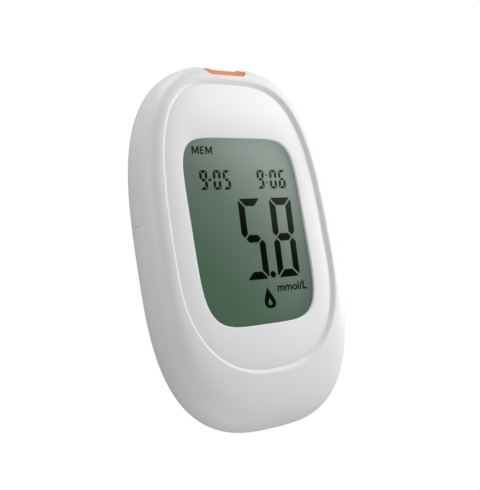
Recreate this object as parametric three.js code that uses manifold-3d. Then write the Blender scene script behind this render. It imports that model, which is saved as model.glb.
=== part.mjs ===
// A hand-held blood glucose meter, in millimetres, lying on its flat back with the display up.
// X runs to the right across the display, Y runs up the display to the strip port, and Z runs out of it.
// The origin is under the middle of the case, on the plane of its flat back.
import * as THREE from "three";
import { mergeVertices } from "three/addons/utils/BufferGeometryUtils.js";
import Module from "manifold-3d";

const wasm = await Module();
wasm.setup();

// Case outline
const caseWidth = 60;
const caseLength = 96;
const caseWidestBelowMiddle = 3.4;
const caseTopPower = 2.9;
const caseBottomPower = 2.95;
const domePower = 2.75;
const hullPower = 1.85;
const domeDepth = 6.95;
const frontShellDepth = 4.6;
const flatBackInset = 15;
const wall = 1.8;
const shellSeam = 0.2;

// Face recess and display window
const rimWidth = 4.55;
const rimTopWidth = 4.9;
const chinLength = 14.15;
const faceWidestBelowMiddle = 5.4;
const faceTopPower = 3.35;
const faceBottomPower = 2.4;
const recessDepth = 0.9;
const recessSlope = 0.85;
const panelSeam = 0.15;
const panelThickness = 0.6;
const windowSideMargin = 6.85;
const windowTopMargin = 15.5;
const windowBottomMargin = 12.2;
const windowWidestAboveMiddle = 2.95;
const windowTopPower = 6;
const windowBottomPower = 4.8;

// Display stack
const lensThickness = 0.9;
const lensBorder = 1.6;
const lensSeam = 0.15;
const gasketThickness = 0.4;
const gasketBorder = 0.5;
const displayThickness = 1.8;
const displayBorder = 1.5;
const reflectorThickness = 0.3;
const reflectorMargin = 0.6;
const chipSpace = 1.6;
const filmGap = 0.1;
const fitGap = 0.25;
const deckThickness = 1.2;
const frameWall = 1.2;
const frameLedge = 1.6;
const frameLedgeThickness = 0.7;
const zebraWidth = 2;
const zebraEndMargin = 3;

// Battery bay and door
const cellDiameter = 10.5;
const cellLength = 44.5;
const cellSpacing = 11;
const cellNubDiameter = 3.6;
const cellNubLength = 1;
const cellEdge = 0.5;
const bayCeiling = 1;
const bayWall = 1.1;
const bayBottomMargin = 16.5;
const contactSpace = 3.3;
const plateThickness = 0.4;
const plateHeight = 8;
const plateWidth = 7.5;
const plateTabWidth = 2;
const springWire = 0.5;
const springBaseDiameter = 6.4;
const springTipDiameter = 4;
const springTurns = 4;
const doorThickness = 1.5;
const doorSetBack = 0.15;
const doorSeam = 0.2;
const doorLedge = 2;
const doorTopLedge = 3.4;
const doorCorner = 4;
const doorFrameWidth = 1.2;
const doorFrameHeight = 1.2;
const doorTabSpacing = 14;
const doorTabWidth = 4;
const doorTabReach = 1.1;
const doorTabThickness = 0.7;
const doorTabSwing = 1.4;
const doorTabRise = 0.7;
const doorLatchWidth = 8;
const doorLatchThickness = 0.8;
const doorLatchHeight = 1.5;
const gripCount = 4;
const gripWidth = 0.6;
const gripPitch = 1.5;
const gripDepth = 0.4;
const gripLength = 11;
const thumbRadius = 6.5;
const thumbReach = 3;
const thumbDepth = 0.7;

// Strip port
const mouthDepth = 3.55;
const mouthHalfWidth = 5.5;
const mouthCornerWidth = 1.2;
const mouthCornerDepth = 0.9;
const mouthFlareShare = 0.6;
const mouthFloorBelowParting = 2.4;
const trimGap = 0.15;
const trimSetBack = 0.4;
const trimUnderDome = 1.6;
const trimSkin = 0.15;
const trimLedge = 1.8;
const funnelHalfWidth = 4.2;
const funnelFlareShare = 1.4;
const trimFloor = 1.1;
const trimFlangeWidth = 17.2;
const trimFlangeLength = 2.5;
const trimFlangeDrop = 1;
const slotWidth = 7.4;
const slotHeight = 1.3;
const connectorWidth = 11.2;
const connectorLength = 9;
const connectorWall = 0.8;
const contactCount = 4;
const contactPitch = 1.5;
const contactWidth = 0.7;
const contactThickness = 0.2;
const contactDip = 0.6;
const contactTail = 1.2;

// Side key and its switch
const keyLength = 19.5;
const keyHeight = 4.4;
const keyAboveMiddle = 16.25;
const keyBelowParting = 1;
const keyCorner = 1.2;
const keySeam = 0.15;
const keyProud = 0.1;
const keyTravel = 0.5;
const keyFlangeBorder = 0.8;
const keyFlangeThickness = 0.8;
const keyNubLength = 1.2;
const keyNubSize = 2.4;
const switchLength = 6.2;
const switchDepth = 3.6;
const switchHeight = 3.4;
const plungerDiameter = 1.6;
const plungerOut = 0.9;
const plungerIn = 0.6;
const plungerGap = 0.1;

// Main board and what is on it
const boardThickness = 1.2;
const boardMargin = 2;
const boardNeckGap = 0.6;
const boardNeckLength = 9;
const boardTabLength = 8.4;
const boardScrewAboveNeck = 3.4;
const chipGap = 0.1;
const chipHeight = 1.1;
const processorSize = 10;
const analogWidth = 7;
const analogLength = 5;
const memoryWidth = 5;
const memoryLength = 4;
const crystalDiameter = 1.2;
const crystalLength = 5;
const buzzerDiameter = 9;
const buzzerHeight = 3;
const buzzerHoleDiameter = 1.6;

// Screws and bosses
const bossRadius = 2.6;
const rearBossRadius = 3;
const bossInset = 6.05;
const topBossFromTop = 13.5;
const bottomBossFromBottom = 13;
const screwSeatZ = 8;
const bossWeb = 1.6;
const screwShankRadius = 1.05;
const screwShankLength = 8;
const screwHeadRadius = 2.1;
const screwHeadHeight = 1.3;
const screwGap = 0.15;
const crossLength = 2.4;
const crossWidth = 0.6;
const crossDepth = 0.7;
const boardScrewShankRadius = 0.75;
const boardScrewShankLength = 5;
const boardScrewHeadRadius = 1.7;
const boardScrewHeadHeight = 1;
const postRadius = 2.2;

// Lip of the rear shell inside the front shell
const lipHeight = 0.7;
const lipThickness = 0.6;
const lipSkin = 0.65;
const lipGap = 0.1;
const lipRoot = 0.5;

// Mesh fineness and cutting
const outlineSteps = 72;
const domeSteps = 6;
const hullSteps = 6;
const roundSides = 20;
const smallSides = 12;
const cornerSteps = 5;
const springStepsPerTurn = 10;
const cutOverrun = 1;
const mergeTolerance = 0.0001;

// Heights worked out from the stack, from the flat back up
const doorTop = doorSetBack + doorThickness;
const cellAxisZ = doorTop + fitGap + cellDiameter / 2;
const ceilingBottom = cellAxisZ + cellDiameter / 2 + fitGap;
const ceilingTop = ceilingBottom + bayCeiling;
const boardBottom = ceilingTop + fitGap;
const boardTop = boardBottom + boardThickness;
const reflectorBottom = boardTop + chipSpace;
const displayBottom = reflectorBottom + reflectorThickness + filmGap;
const displayTop = displayBottom + displayThickness;
const gasketBottom = displayTop + filmGap;
const lensBottom = gasketBottom + gasketThickness + filmGap;
const lensTop = lensBottom + lensThickness;
const panelBottom = lensTop + filmGap;
const panelTop = panelBottom + panelThickness;
const caseThickness = panelTop + recessDepth;
const deckTop = lensTop;
const deckBottom = deckTop - deckThickness;
const widestZ = caseThickness - domeDepth;
const partingZ = caseThickness - frontShellDepth;
const rearTop = partingZ - shellSeam / 2;
const frontBottom = partingZ + shellSeam / 2;

// Outlines: each is two half superellipses that meet at the widest place
const caseOutline = {
  halfWidth: caseWidth / 2,
  top: caseLength / 2,
  bottom: -caseLength / 2,
  widestY: -caseWidestBelowMiddle,
  topPower: caseTopPower,
  bottomPower: caseBottomPower,
};
const faceOutline = {
  halfWidth: caseOutline.halfWidth - rimWidth,
  top: caseOutline.top - rimTopWidth,
  bottom: caseOutline.bottom + chinLength,
  widestY: -faceWidestBelowMiddle,
  topPower: faceTopPower,
  bottomPower: faceBottomPower,
};
const windowOutline = {
  halfWidth: faceOutline.halfWidth - windowSideMargin,
  top: faceOutline.top - windowTopMargin,
  bottom: faceOutline.bottom + windowBottomMargin,
  widestY: windowWidestAboveMiddle,
  topPower: windowTopPower,
  bottomPower: windowBottomPower,
};

const finishes = {
  whiteShell: new THREE.MeshStandardMaterial({ color: 0xf2f2f2, roughness: 0.38, metalness: 0 }),
  facePanel: new THREE.MeshStandardMaterial({ color: 0xf4f4f4, roughness: 0.3, metalness: 0 }),
  clearLens: new THREE.MeshStandardMaterial({ color: 0xeef4f1, roughness: 0.06, metalness: 0 }),
  displayGlass: new THREE.MeshStandardMaterial({ color: 0x71857a, roughness: 0.25, metalness: 0 }),
  orange: new THREE.MeshStandardMaterial({ color: 0xe8853f, roughness: 0.35, metalness: 0 }),
  blackPlastic: new THREE.MeshStandardMaterial({ color: 0x1c1d1f, roughness: 0.55, metalness: 0 }),
  foam: new THREE.MeshStandardMaterial({ color: 0x2a2b2c, roughness: 0.95, metalness: 0 }),
  board: new THREE.MeshStandardMaterial({ color: 0x1f6b3c, roughness: 0.45, metalness: 0 }),
  steel: new THREE.MeshStandardMaterial({ color: 0xb9bcc0, roughness: 0.3, metalness: 1 }),
  gold: new THREE.MeshStandardMaterial({ color: 0xd9b25a, roughness: 0.25, metalness: 1 }),
  cellJacket: new THREE.MeshStandardMaterial({ color: 0x3b4a5c, roughness: 0.35, metalness: 0.2 }),
};

const meter = new THREE.Group();

// Adds one named mesh, placed by its own position.
function addPart(name, geometry, finish, x = 0, y = 0, z = 0) {
  const mesh = new THREE.Mesh(geometry, finish);
  mesh.name = name;
  mesh.position.set(x, y, z);
  meter.add(mesh);
}

// A point of an outline at an angle, with the outline drawn in by an inset.
function outlinePoint(outline, inset, angle) {
  const upper = Math.sin(angle) >= 0;
  const power = 2 / (upper ? outline.topPower : outline.bottomPower);
  const reachY = upper ? outline.top - outline.widestY : outline.widestY - outline.bottom;
  const across = Math.sign(Math.cos(angle)) * Math.abs(Math.cos(angle)) ** power;
  const along = Math.sign(Math.sin(angle)) * Math.abs(Math.sin(angle)) ** power;
  return new THREE.Vector2(
    (outline.halfWidth - inset) * across,
    outline.widestY + (reachY - inset) * along,
  );
}

// The half width of an outline at a given place along Y, with the outline drawn in by an inset.
function halfWidthAt(outline, inset, y) {
  const upper = y >= outline.widestY;
  const power = upper ? outline.topPower : outline.bottomPower;
  const reachY = (upper ? outline.top - outline.widestY : outline.widestY - outline.bottom) - inset;
  const share = Math.min(1, Math.abs(y - outline.widestY) / reachY);
  return (outline.halfWidth - inset) * (1 - share ** power) ** (1 / power);
}

// A closed ring of points part of the way from one outline to another, at one height.
function ringBetween(inner, outer, share, inset, z) {
  const ring = [];
  for (let i = 0; i < outlineSteps; i++) {
    const angle = (2 * Math.PI * i) / outlineSteps;
    const point = outlinePoint(inner, inset, angle).lerp(outlinePoint(outer, inset, angle), share);
    ring.push(new THREE.Vector3(point.x, point.y, z));
  }
  return ring;
}

function ringOf(outline, inset, z) {
  return ringBetween(outline, outline, 0, inset, z);
}

// A closed surface through a stack of rings, with a flat cap at each end.
function loft(rings) {
  const count = rings[0].length;
  const points = rings.flat();
  const faces = [];
  for (let level = 0; level + 1 < rings.length; level++) {
    for (let i = 0; i < count; i++) {
      const a = level * count + i;
      const b = level * count + ((i + 1) % count);
      faces.push(a, b, b + count, a, b + count, a + count);
    }
  }
  const last = (rings.length - 1) * count;
  const middles = [rings[0], rings[rings.length - 1]].map((ring) =>
    ring.reduce((sum, point) => sum.add(point), new THREE.Vector3()).divideScalar(count),
  );
  const first = points.length;
  for (let i = 0; i < count; i++) {
    const next = (i + 1) % count;
    faces.push(first, next, i, first + 1, last + i, last + next);
  }
  const geometry = new THREE.BufferGeometry().setFromPoints([...points, ...middles]);
  geometry.setIndex(faces);
  return geometry;
}

// How far out the dome lies, as a share from the face outline to the case outline, at a share of its height.
function domeShare(heightShare) {
  return (1 - heightShare ** domePower) ** (1 / domePower);
}

// Rings of the dome from a start height up to its ceiling, drawn in by an inset.
function domeRings(startZ, ceilingZ, inset) {
  const rings = [];
  const startShare = (startZ - widestZ) / (ceilingZ - widestZ);
  const startAngle = Math.asin(Math.max(0, startShare) ** (domePower / 2));
  for (let i = 0; i <= domeSteps; i++) {
    const angle = startAngle + ((Math.PI / 2 - startAngle) * i) / domeSteps;
    const heightShare = Math.sin(angle) ** (2 / domePower);
    const outShare = Math.max(0, Math.cos(angle)) ** (2 / domePower);
    const z = widestZ + (ceilingZ - widestZ) * heightShare;
    rings.push(ringBetween(faceOutline, caseOutline, outShare, inset, z));
  }
  return rings;
}

// Rings of the hull from its flat back up to the widest place, drawn in by an inset.
function hullRings(backZ, inset) {
  const rings = [];
  for (let i = 0; i <= hullSteps; i++) {
    const angle = (Math.PI / 2) * (1 - i / hullSteps);
    const depthShare = Math.sin(angle) ** (2 / hullPower);
    const outShare = Math.cos(angle) ** (2 / hullPower);
    const z = widestZ - (widestZ - backZ) * depthShare;
    rings.push(ringOf(caseOutline, inset + flatBackInset * (1 - outShare), z));
  }
  return rings;
}

// The hull's solid up to a given height, drawn in by an inset, above a given back plane.
function hullSolid(backZ, inset, topZ) {
  const share = domeShare((topZ - widestZ) / domeDepth);
  return solidOf(
    loft([...hullRings(backZ, inset), ringBetween(faceOutline, caseOutline, share, inset, topZ)]),
  );
}

function solidOf(geometry) {
  const bare = new THREE.BufferGeometry();
  bare.setAttribute("position", geometry.getAttribute("position"));
  if (geometry.index) bare.setIndex(geometry.index);
  const merged = mergeVertices(bare, mergeTolerance);
  return new wasm.Manifold(
    new wasm.Mesh({
      numProp: 3,
      vertProperties: merged.getAttribute("position").array,
      triVerts: new Uint32Array(merged.index.array),
    }),
  );
}

function geometryOf(solid) {
  const mesh = solid.getMesh();
  const geometry = new THREE.BufferGeometry();
  geometry.setAttribute("position", new THREE.BufferAttribute(mesh.vertProperties, 3));
  geometry.setIndex(new THREE.BufferAttribute(mesh.triVerts, 1));
  geometry.computeVertexNormals();
  return geometry;
}

function joined(solids) {
  return solids.reduce((sum, solid) => sum.add(solid));
}

function cutBy(solid, cutters) {
  return cutters.reduce((rest, cutter) => rest.subtract(cutter), solid);
}

// A box between two corners.
function block(x0, x1, y0, y1, z0, z1) {
  return new THREE.BoxGeometry(x1 - x0, y1 - y0, z1 - z0).translate(
    (x0 + x1) / 2,
    (y0 + y1) / 2,
    (z0 + z1) / 2,
  );
}

// An upright cylinder.
function rod(radius, x, y, z0, z1, sides = roundSides) {
  return new THREE.CylinderGeometry(radius, radius, z1 - z0, sides)
    .rotateX(Math.PI / 2)
    .translate(x, y, (z0 + z1) / 2);
}

// A straight-sided plate of a flat shape, drawn in X and Y.
function plate(shape, z0, z1) {
  return new THREE.ExtrudeGeometry(shape, {
    depth: z1 - z0,
    bevelEnabled: false,
    curveSegments: cornerSteps,
  }).translate(0, 0, z0);
}

// A straight bar along X of a flat shape that is drawn in Y and Z.
function barAlongX(shape, x0, x1) {
  const turn = new THREE.Matrix4().makeBasis(
    new THREE.Vector3(0, 1, 0),
    new THREE.Vector3(0, 0, 1),
    new THREE.Vector3(1, 0, 0),
  );
  return plate(shape, 0, x1 - x0).applyMatrix4(turn).translate(x0, 0, 0);
}

// A flat rectangle with rounded corners between two corners.
function roundedRectangle(x0, x1, y0, y1, radius) {
  const shape = new THREE.Shape();
  shape.moveTo(x0 + radius, y0);
  shape.lineTo(x1 - radius, y0);
  shape.absarc(x1 - radius, y0 + radius, radius, -Math.PI / 2, 0);
  shape.absarc(x1 - radius, y1 - radius, radius, 0, Math.PI / 2);
  shape.absarc(x0 + radius, y1 - radius, radius, Math.PI / 2, Math.PI);
  shape.absarc(x0 + radius, y0 + radius, radius, Math.PI, (3 * Math.PI) / 2);
  return shape;
}

function polygon(points) {
  return new THREE.Shape(points.map(([x, y]) => new THREE.Vector2(x, y)));
}

// Battery bay places
const bayHalfWidth = cellSpacing / 2 + cellDiameter / 2 + fitGap;
const bayBottom = caseOutline.bottom + bayBottomMargin;
const bayLength = cellLength + cellNubLength + contactSpace + 2 * plateThickness + 4 * filmGap;
const bayTop = bayBottom + bayLength;
const doorOutline = {
  halfWidth: bayHalfWidth + doorLedge,
  bottom: bayBottom - doorLedge,
  top: bayTop + doorTopLedge,
};

// Strip port places
const mouthFloorY = caseOutline.top - mouthDepth;
const mouthFloorZ = partingZ - mouthFloorBelowParting;
const trimBottom = mouthFloorZ + trimGap;
const slotBottom = trimBottom + trimFloor;
const slotTop = slotBottom + slotHeight;
const trimFlangeFront = mouthFloorY - trimGap;
const trimFlangeBack = trimFlangeFront - trimFlangeLength;
const connectorFront = trimFlangeBack - fitGap;
const connectorBack = connectorFront - connectorLength;

// The mouth's flared outline in plan, grown or drawn in by a gap, from a floor up to an end.
function mouthPlan(floorY, endY, gap) {
  const cornerSlope = mouthCornerWidth / mouthCornerDepth;
  const cornerX = mouthHalfWidth - gap * Math.hypot(1, cornerSlope);
  const flankX = mouthHalfWidth + mouthCornerWidth - mouthCornerDepth * mouthFlareShare;
  const flankInnerX = flankX - gap * Math.hypot(1, mouthFlareShare);
  const bendY = mouthFloorY + (flankInnerX - cornerX) / (cornerSlope - mouthFlareShare);
  const floorHalf = Math.min(mouthHalfWidth, cornerX + (floorY - mouthFloorY) * cornerSlope);
  const bendHalf = flankInnerX + (bendY - mouthFloorY) * mouthFlareShare;
  const endHalf = flankInnerX + (endY - mouthFloorY) * mouthFlareShare;
  return polygon([
    [-floorHalf, floorY],
    [floorHalf, floorY],
    [bendHalf, bendY],
    [endHalf, endY],
    [-endHalf, endY],
    [-bendHalf, bendY],
  ]);
}

// Screw bosses of the case
const topBossY = caseOutline.top - topBossFromTop;
const bottomBossY = caseOutline.bottom + bottomBossFromBottom;
const topBossX = halfWidthAt(caseOutline, bossInset, topBossY);
const bottomBossX = halfWidthAt(caseOutline, bossInset, bottomBossY);
const bossPlaces = [
  [-topBossX, topBossY],
  [topBossX, topBossY],
  [-bottomBossX, bottomBossY],
  [bottomBossX, bottomBossY],
];
const rearBossTop = screwSeatZ + bossWeb;
const frontBossBottom = rearBossTop + shellSeam;

// Display and board places
const display = {
  halfWidth: windowOutline.halfWidth + displayBorder,
  top: windowOutline.top + displayBorder,
  bottom: windowOutline.bottom - displayBorder,
};
const frameHalfWidth = display.halfWidth + fitGap + frameWall;
const frameTopY = display.top + fitGap + frameWall;
const frameBottomY = display.bottom - fitGap - frameWall;
const boardNeckY = frameTopY + fitGap;
const boardEndY = boardNeckY + boardNeckLength;
const boardNeckHalf = topBossX - bossRadius - boardNeckGap;
const boardScrewX = (connectorWidth / 2 + boardNeckHalf) / 2;
const boardScrewY = boardNeckY + boardScrewAboveNeck;
const boardScrewPlaces = [-1, 1].map((side) => [side * boardScrewX, boardScrewY]);
const zebraTopY = frameBottomY + frameWall + frameLedge + filmGap + zebraWidth;
const connectorTop = deckBottom - trimFlangeDrop / 2;

// Side key places
const keyBottomY = keyAboveMiddle - keyLength / 2;
const keyTopY = keyAboveMiddle + keyLength / 2;
const keyTopZ = partingZ - keyBelowParting;
const keyBottomZ = keyTopZ - keyHeight;
const flangeInset = wall + fitGap;
const flangeInnerInset = flangeInset + keyFlangeThickness;
const flangeX = halfWidthAt(caseOutline, flangeInnerInset, keyAboveMiddle);
const nubX = flangeX - keyNubLength;
const plungerTipX = nubX - plungerGap;
const switchFaceX = plungerTipX - plungerOut;
const switchTopZ = boardBottom - chipGap;
const plungerZ = switchTopZ - switchHeight / 2;

// Front shell: a dome with a sunken face, hollow inside, with four bosses for the case screws.
function frontShell() {
  const recess = [
    ringOf(faceOutline, recessSlope, panelTop),
    ringOf(faceOutline, recessSlope, deckTop),
  ];
  const outside = solidOf(loft([...domeRings(frontBottom, caseThickness, 0), ...recess]));
  const underside = domeRings(widestZ, deckBottom, wall);
  const hollow = solidOf(
    loft([ringOf(caseOutline, wall, widestZ - cutOverrun), ...underside]),
  );
  const bosses = bossPlaces.map(([x, y]) =>
    solidOf(rod(bossRadius, x, y, frontBossBottom, deckBottom + deckThickness / 2)),
  );
  const pilots = bossPlaces.map(([x, y]) => {
    const end = screwSeatZ + screwShankLength + screwGap;
    return solidOf(rod(screwShankRadius + screwGap, x, y, frontBossBottom - cutOverrun, end));
  });
  const lensHole = solidOf(
    loft([
      ringOf(windowOutline, -lensBorder - lensSeam, deckBottom - cutOverrun),
      ringOf(windowOutline, -lensBorder - lensSeam, deckTop + cutOverrun),
    ]),
  );
  const rabbetTop = partingZ + lipHeight + lipGap;
  const rabbetShare = domeShare((rabbetTop - widestZ) / domeDepth);
  const rabbet = solidOf(
    loft([
      ringBetween(faceOutline, caseOutline, rabbetShare, lipSkin, frontBottom - cutOverrun),
      ringBetween(faceOutline, caseOutline, rabbetShare, lipSkin, rabbetTop),
    ]),
  );
  const mouth = solidOf(
    plate(
      mouthPlan(mouthFloorY, caseOutline.top + cutOverrun, 0),
      partingZ - cutOverrun,
      caseThickness + cutOverrun,
    ),
  );
  const cup = cutBy(outside, [hollow, rabbet, lensHole, mouth]);
  return cutBy(joined([cup, ...bosses]), pilots);
}
addPart("front_shell", geometryOf(frontShell()), finishes.whiteShell);

// The side key's outline in Y and Z, grown by a gap, as a bar along X on the left side of the case.
function keyBar(gap, x0, x1) {
  const shape = roundedRectangle(
    keyBottomY - gap,
    keyTopY + gap,
    keyBottomZ - gap,
    keyTopZ + gap,
    keyCorner + gap,
  );
  return barAlongX(shape, x0, x1);
}

// The battery door's outline, grown by a gap.
function doorShape(gap) {
  return roundedRectangle(
    -doorOutline.halfWidth - gap,
    doorOutline.halfWidth + gap,
    doorOutline.bottom - gap,
    doorOutline.top + gap,
    doorCorner + gap,
  );
}

// The lip that stands on the rear shell inside the front shell.
function rearLip() {
  const top = partingZ + lipHeight;
  const root = rearTop - lipRoot;
  const share = domeShare((top + lipGap - widestZ) / domeDepth);
  const ringSolid = (inset, z0, z1) =>
    solidOf(
      loft([
        ringBetween(faceOutline, caseOutline, share, inset, z0),
        ringBetween(faceOutline, caseOutline, share, inset, z1),
      ]),
    );
  const inside = lipSkin + lipGap + lipThickness;
  return ringSolid(lipSkin + lipGap, root, top).subtract(
    ringSolid(inside, root - cutOverrun, top + cutOverrun),
  );
}

// Rear shell: the hull with the battery bay, the door's seat, screw bosses, board posts, key window and lip.
function rearShell() {
  const outside = hullSolid(0, 0, rearTop);
  const hollow = solidOf(
    loft([...hullRings(wall, wall), ringOf(caseOutline, wall, partingZ + cutOverrun)]),
  );
  const bayWalls = block(
    -bayHalfWidth - bayWall,
    bayHalfWidth + bayWall,
    bayBottom - bayWall,
    bayTop + bayWall,
    0,
    ceilingTop,
  );
  const doorSeat = plate(doorShape(doorFrameWidth), 0, doorTop + filmGap + doorFrameHeight);
  const bosses = bossPlaces.map(([x, y]) => rod(rearBossRadius, x, y, 0, rearBossTop));
  const posts = boardScrewPlaces.map(([x, y]) =>
    rod(postRadius, x, y, 0, boardBottom - chipGap, smallSides),
  );
  const inner = joined([bayWalls, doorSeat, ...bosses, ...posts].map(solidOf)).intersect(outside);
  const cuts = [
    block(-bayHalfWidth, bayHalfWidth, bayBottom, bayTop, -cutOverrun, ceilingBottom),
    plate(doorShape(doorSeam), -cutOverrun, doorTop + filmGap),
    keyBar(keySeam, -caseOutline.halfWidth - cutOverrun, -caseOutline.halfWidth / 2),
    plate(
      mouthPlan(mouthFloorY - wall, caseOutline.top + cutOverrun, 0),
      mouthFloorZ,
      partingZ + lipHeight + cutOverrun,
    ),
    thumbScoop(),
    doorLatch(fitGap),
    ...doorTabs(fitGap, doorTabSwing, doorTop + doorTabRise),
  ];
  for (const [x, y] of bossPlaces) {
    cuts.push(rod(screwHeadRadius + screwGap, x, y, -cutOverrun, screwSeatZ));
    cuts.push(rod(screwShankRadius + screwGap, x, y, 0, rearBossTop + cutOverrun));
  }
  const pilotEnd = boardTop - boardScrewShankLength - fitGap;
  for (const [x, y] of boardScrewPlaces) {
    cuts.push(rod(boardScrewShankRadius + screwGap, x, y, pilotEnd, boardTop, smallSides));
  }
  for (const side of [-1, 1]) {
    const middle = (side * cellSpacing) / 2;
    const half = plateTabWidth / 2 + fitGap;
    const slotFront = bayTop - plateThickness - 2 * fitGap;
    cuts.push(
      block(middle - half, middle + half, slotFront, bayTop, ceilingBottom - cutOverrun, boardTop),
    );
  }
  return cutBy(joined([outside.subtract(hollow), inner, rearLip()]), cuts.map(solidOf));
}

// The battery door's two hooks at its lower end, grown by a gap, up to a given height.
function doorTabs(gap, innerReach, topZ) {
  return [-1, 1].map((side) => {
    const middle = (side * doorTabSpacing) / 2;
    return block(
      middle - doorTabWidth / 2 - gap,
      middle + doorTabWidth / 2 + gap,
      doorOutline.bottom - doorTabReach - gap,
      doorOutline.bottom + innerReach,
      doorTop - doorTabThickness - gap / 2,
      topZ,
    );
  });
}

// The battery door's latch tongue near its upper end, grown by a gap.
function doorLatch(gap) {
  const front = doorOutline.top - doorLedge / 2;
  return block(
    -doorLatchWidth / 2 - gap,
    doorLatchWidth / 2 + gap,
    front - doorLatchThickness - gap,
    front + gap,
    doorTop - filmGap,
    doorTop + doorLatchHeight + gap,
  );
}

// A shallow scoop in the back at the end of the battery door, for a thumbnail.
function thumbScoop() {
  const middleY = doorOutline.top + doorSeam + thumbReach - thumbRadius;
  return rod(thumbRadius, 0, middleY, -cutOverrun, thumbDepth, 2 * roundSides);
}
addPart("rear_shell", geometryOf(rearShell()), finishes.whiteShell);

// Face panel: the sheet that lies in the recess, with the display window cut through it.
function facePanel() {
  const inset = recessSlope + panelSeam;
  const sheet = solidOf(
    loft([ringOf(faceOutline, inset, panelBottom), ringOf(faceOutline, inset, panelTop)]),
  );
  return cutBy(sheet, [windowHole(0, panelBottom, panelTop)]);
}

// A cutter of the window's outline, grown by a border.
function windowHole(border, z0, z1) {
  return solidOf(
    loft([
      ringOf(windowOutline, -border, z0 - cutOverrun),
      ringOf(windowOutline, -border, z1 + cutOverrun),
    ]),
  );
}
addPart("face_panel", geometryOf(facePanel()), finishes.facePanel);

// Display lens: the clear sheet behind the window, in the front shell's opening.
const lensGeometry = loft([
  ringOf(windowOutline, -lensBorder, lensBottom),
  ringOf(windowOutline, -lensBorder, lensTop),
]);
addPart("display_lens", lensGeometry, finishes.clearLens);

// Display gasket: a thin foam ring between the lens and the display.
function displayGasket() {
  const gasketTop = gasketBottom + gasketThickness;
  const sheet = solidOf(
    loft([
      ringOf(windowOutline, -displayBorder, gasketBottom),
      ringOf(windowOutline, -displayBorder, gasketTop),
    ]),
  );
  return cutBy(sheet, [windowHole(gasketBorder, gasketBottom, gasketTop)]);
}
addPart("display_gasket", geometryOf(displayGasket()), finishes.foam);

// Display: two bonded sheets of glass, the upper one shorter so that the lower one's contact edge is bare.
function displayGlass() {
  const { halfWidth, top, bottom } = display;
  const middle = (displayBottom + displayTop) / 2;
  const lower = block(-halfWidth, halfWidth, bottom, top, displayBottom, middle);
  const upper = block(-halfWidth, halfWidth, bottom + displayBorder / 2, top, middle, displayTop);
  return joined([lower, upper].map(solidOf));
}
addPart("lcd_glass", geometryOf(displayGlass()), finishes.displayGlass);

// Reflector: a thin sheet behind the display that leaves its contact edge free.
const reflectorGeometry = block(
  -display.halfWidth + reflectorMargin,
  display.halfWidth - reflectorMargin,
  zebraTopY + fitGap,
  display.top - reflectorMargin,
  reflectorBottom,
  reflectorBottom + reflectorThickness,
);
addPart("lcd_reflector", reflectorGeometry, finishes.steel);

// Display frame: a rectangular holder on the board with a ledge that the display lies on.
function displayFrame() {
  const outside = block(
    -frameHalfWidth,
    frameHalfWidth,
    frameBottomY,
    frameTopY,
    boardTop + filmGap,
    displayTop - filmGap,
  );
  const pocket = block(
    -frameHalfWidth + frameWall,
    frameHalfWidth - frameWall,
    frameBottomY + frameWall,
    frameTopY - frameWall,
    reflectorBottom - filmGap,
    displayTop + cutOverrun,
  );
  const opening = block(
    -frameHalfWidth + frameWall + frameLedge,
    frameHalfWidth - frameWall - frameLedge,
    frameBottomY + frameWall + frameLedge,
    frameTopY - frameWall - frameLedge,
    boardTop - cutOverrun,
    displayTop,
  );
  return cutBy(solidOf(outside), [pocket, opening].map(solidOf));
}
addPart("lcd_frame", geometryOf(displayFrame()), finishes.blackPlastic);

// Zebra strip: the rubber bar that connects the display's bare edge to the board.
const zebraGeometry = block(
  -display.halfWidth + zebraEndMargin,
  display.halfWidth - zebraEndMargin,
  zebraTopY - zebraWidth,
  zebraTopY,
  boardTop + filmGap,
  displayBottom - filmGap,
);
addPart("zebra_strip", zebraGeometry, finishes.foam);

// Main board: a plate under the display with a neck to the strip port and a tab to the side key.
function mainBoard() {
  const tabX = -switchFaceX - chipGap;
  const tab = boardTabLength / 2;
  const outline = polygon([
    [-frameHalfWidth, frameBottomY - boardMargin],
    [frameHalfWidth, frameBottomY - boardMargin],
    [frameHalfWidth, boardNeckY],
    [boardNeckHalf, boardNeckY],
    [boardNeckHalf, boardEndY],
    [-boardNeckHalf, boardEndY],
    [-boardNeckHalf, boardNeckY],
    [-frameHalfWidth, boardNeckY],
    [-frameHalfWidth, keyAboveMiddle + tab],
    [tabX, keyAboveMiddle + tab],
    [tabX, keyAboveMiddle - tab],
    [-frameHalfWidth, keyAboveMiddle - tab],
  ]);
  const holes = boardScrewPlaces.map(([x, y]) =>
    rod(
      boardScrewShankRadius + screwGap,
      x,
      y,
      boardBottom - cutOverrun,
      boardTop + cutOverrun,
      smallSides,
    ),
  );
  return cutBy(solidOf(plate(outline, boardBottom, boardTop)), holes.map(solidOf));
}
addPart("main_board", geometryOf(mainBoard()), finishes.board);

// Chips and the clock crystal, on the board's upper face inside the display frame.
const chipZ = boardTop + chipGap + chipHeight / 2;
const displayMiddleY = (display.top + display.bottom) / 2;
const chips = [
  ["processor_chip", processorSize, processorSize, 0, displayMiddleY],
  ["analog_chip", analogWidth, analogLength, 0, (displayMiddleY + display.top) / 2],
  ["memory_chip", memoryWidth, memoryLength, display.halfWidth / 2, displayMiddleY],
];
for (const [name, width, length, x, y] of chips) {
  const body = new THREE.BoxGeometry(width, length, chipHeight);
  addPart(name, body, finishes.blackPlastic, x, y, chipZ);
}
const crystalZ = boardTop + chipGap + crystalDiameter / 2;
const crystalBody = new THREE.CylinderGeometry(
  crystalDiameter / 2,
  crystalDiameter / 2,
  crystalLength,
  smallSides,
);
addPart(
  "clock_crystal",
  crystalBody,
  finishes.steel,
  -display.halfWidth / 2,
  displayMiddleY,
  crystalZ,
);

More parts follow.
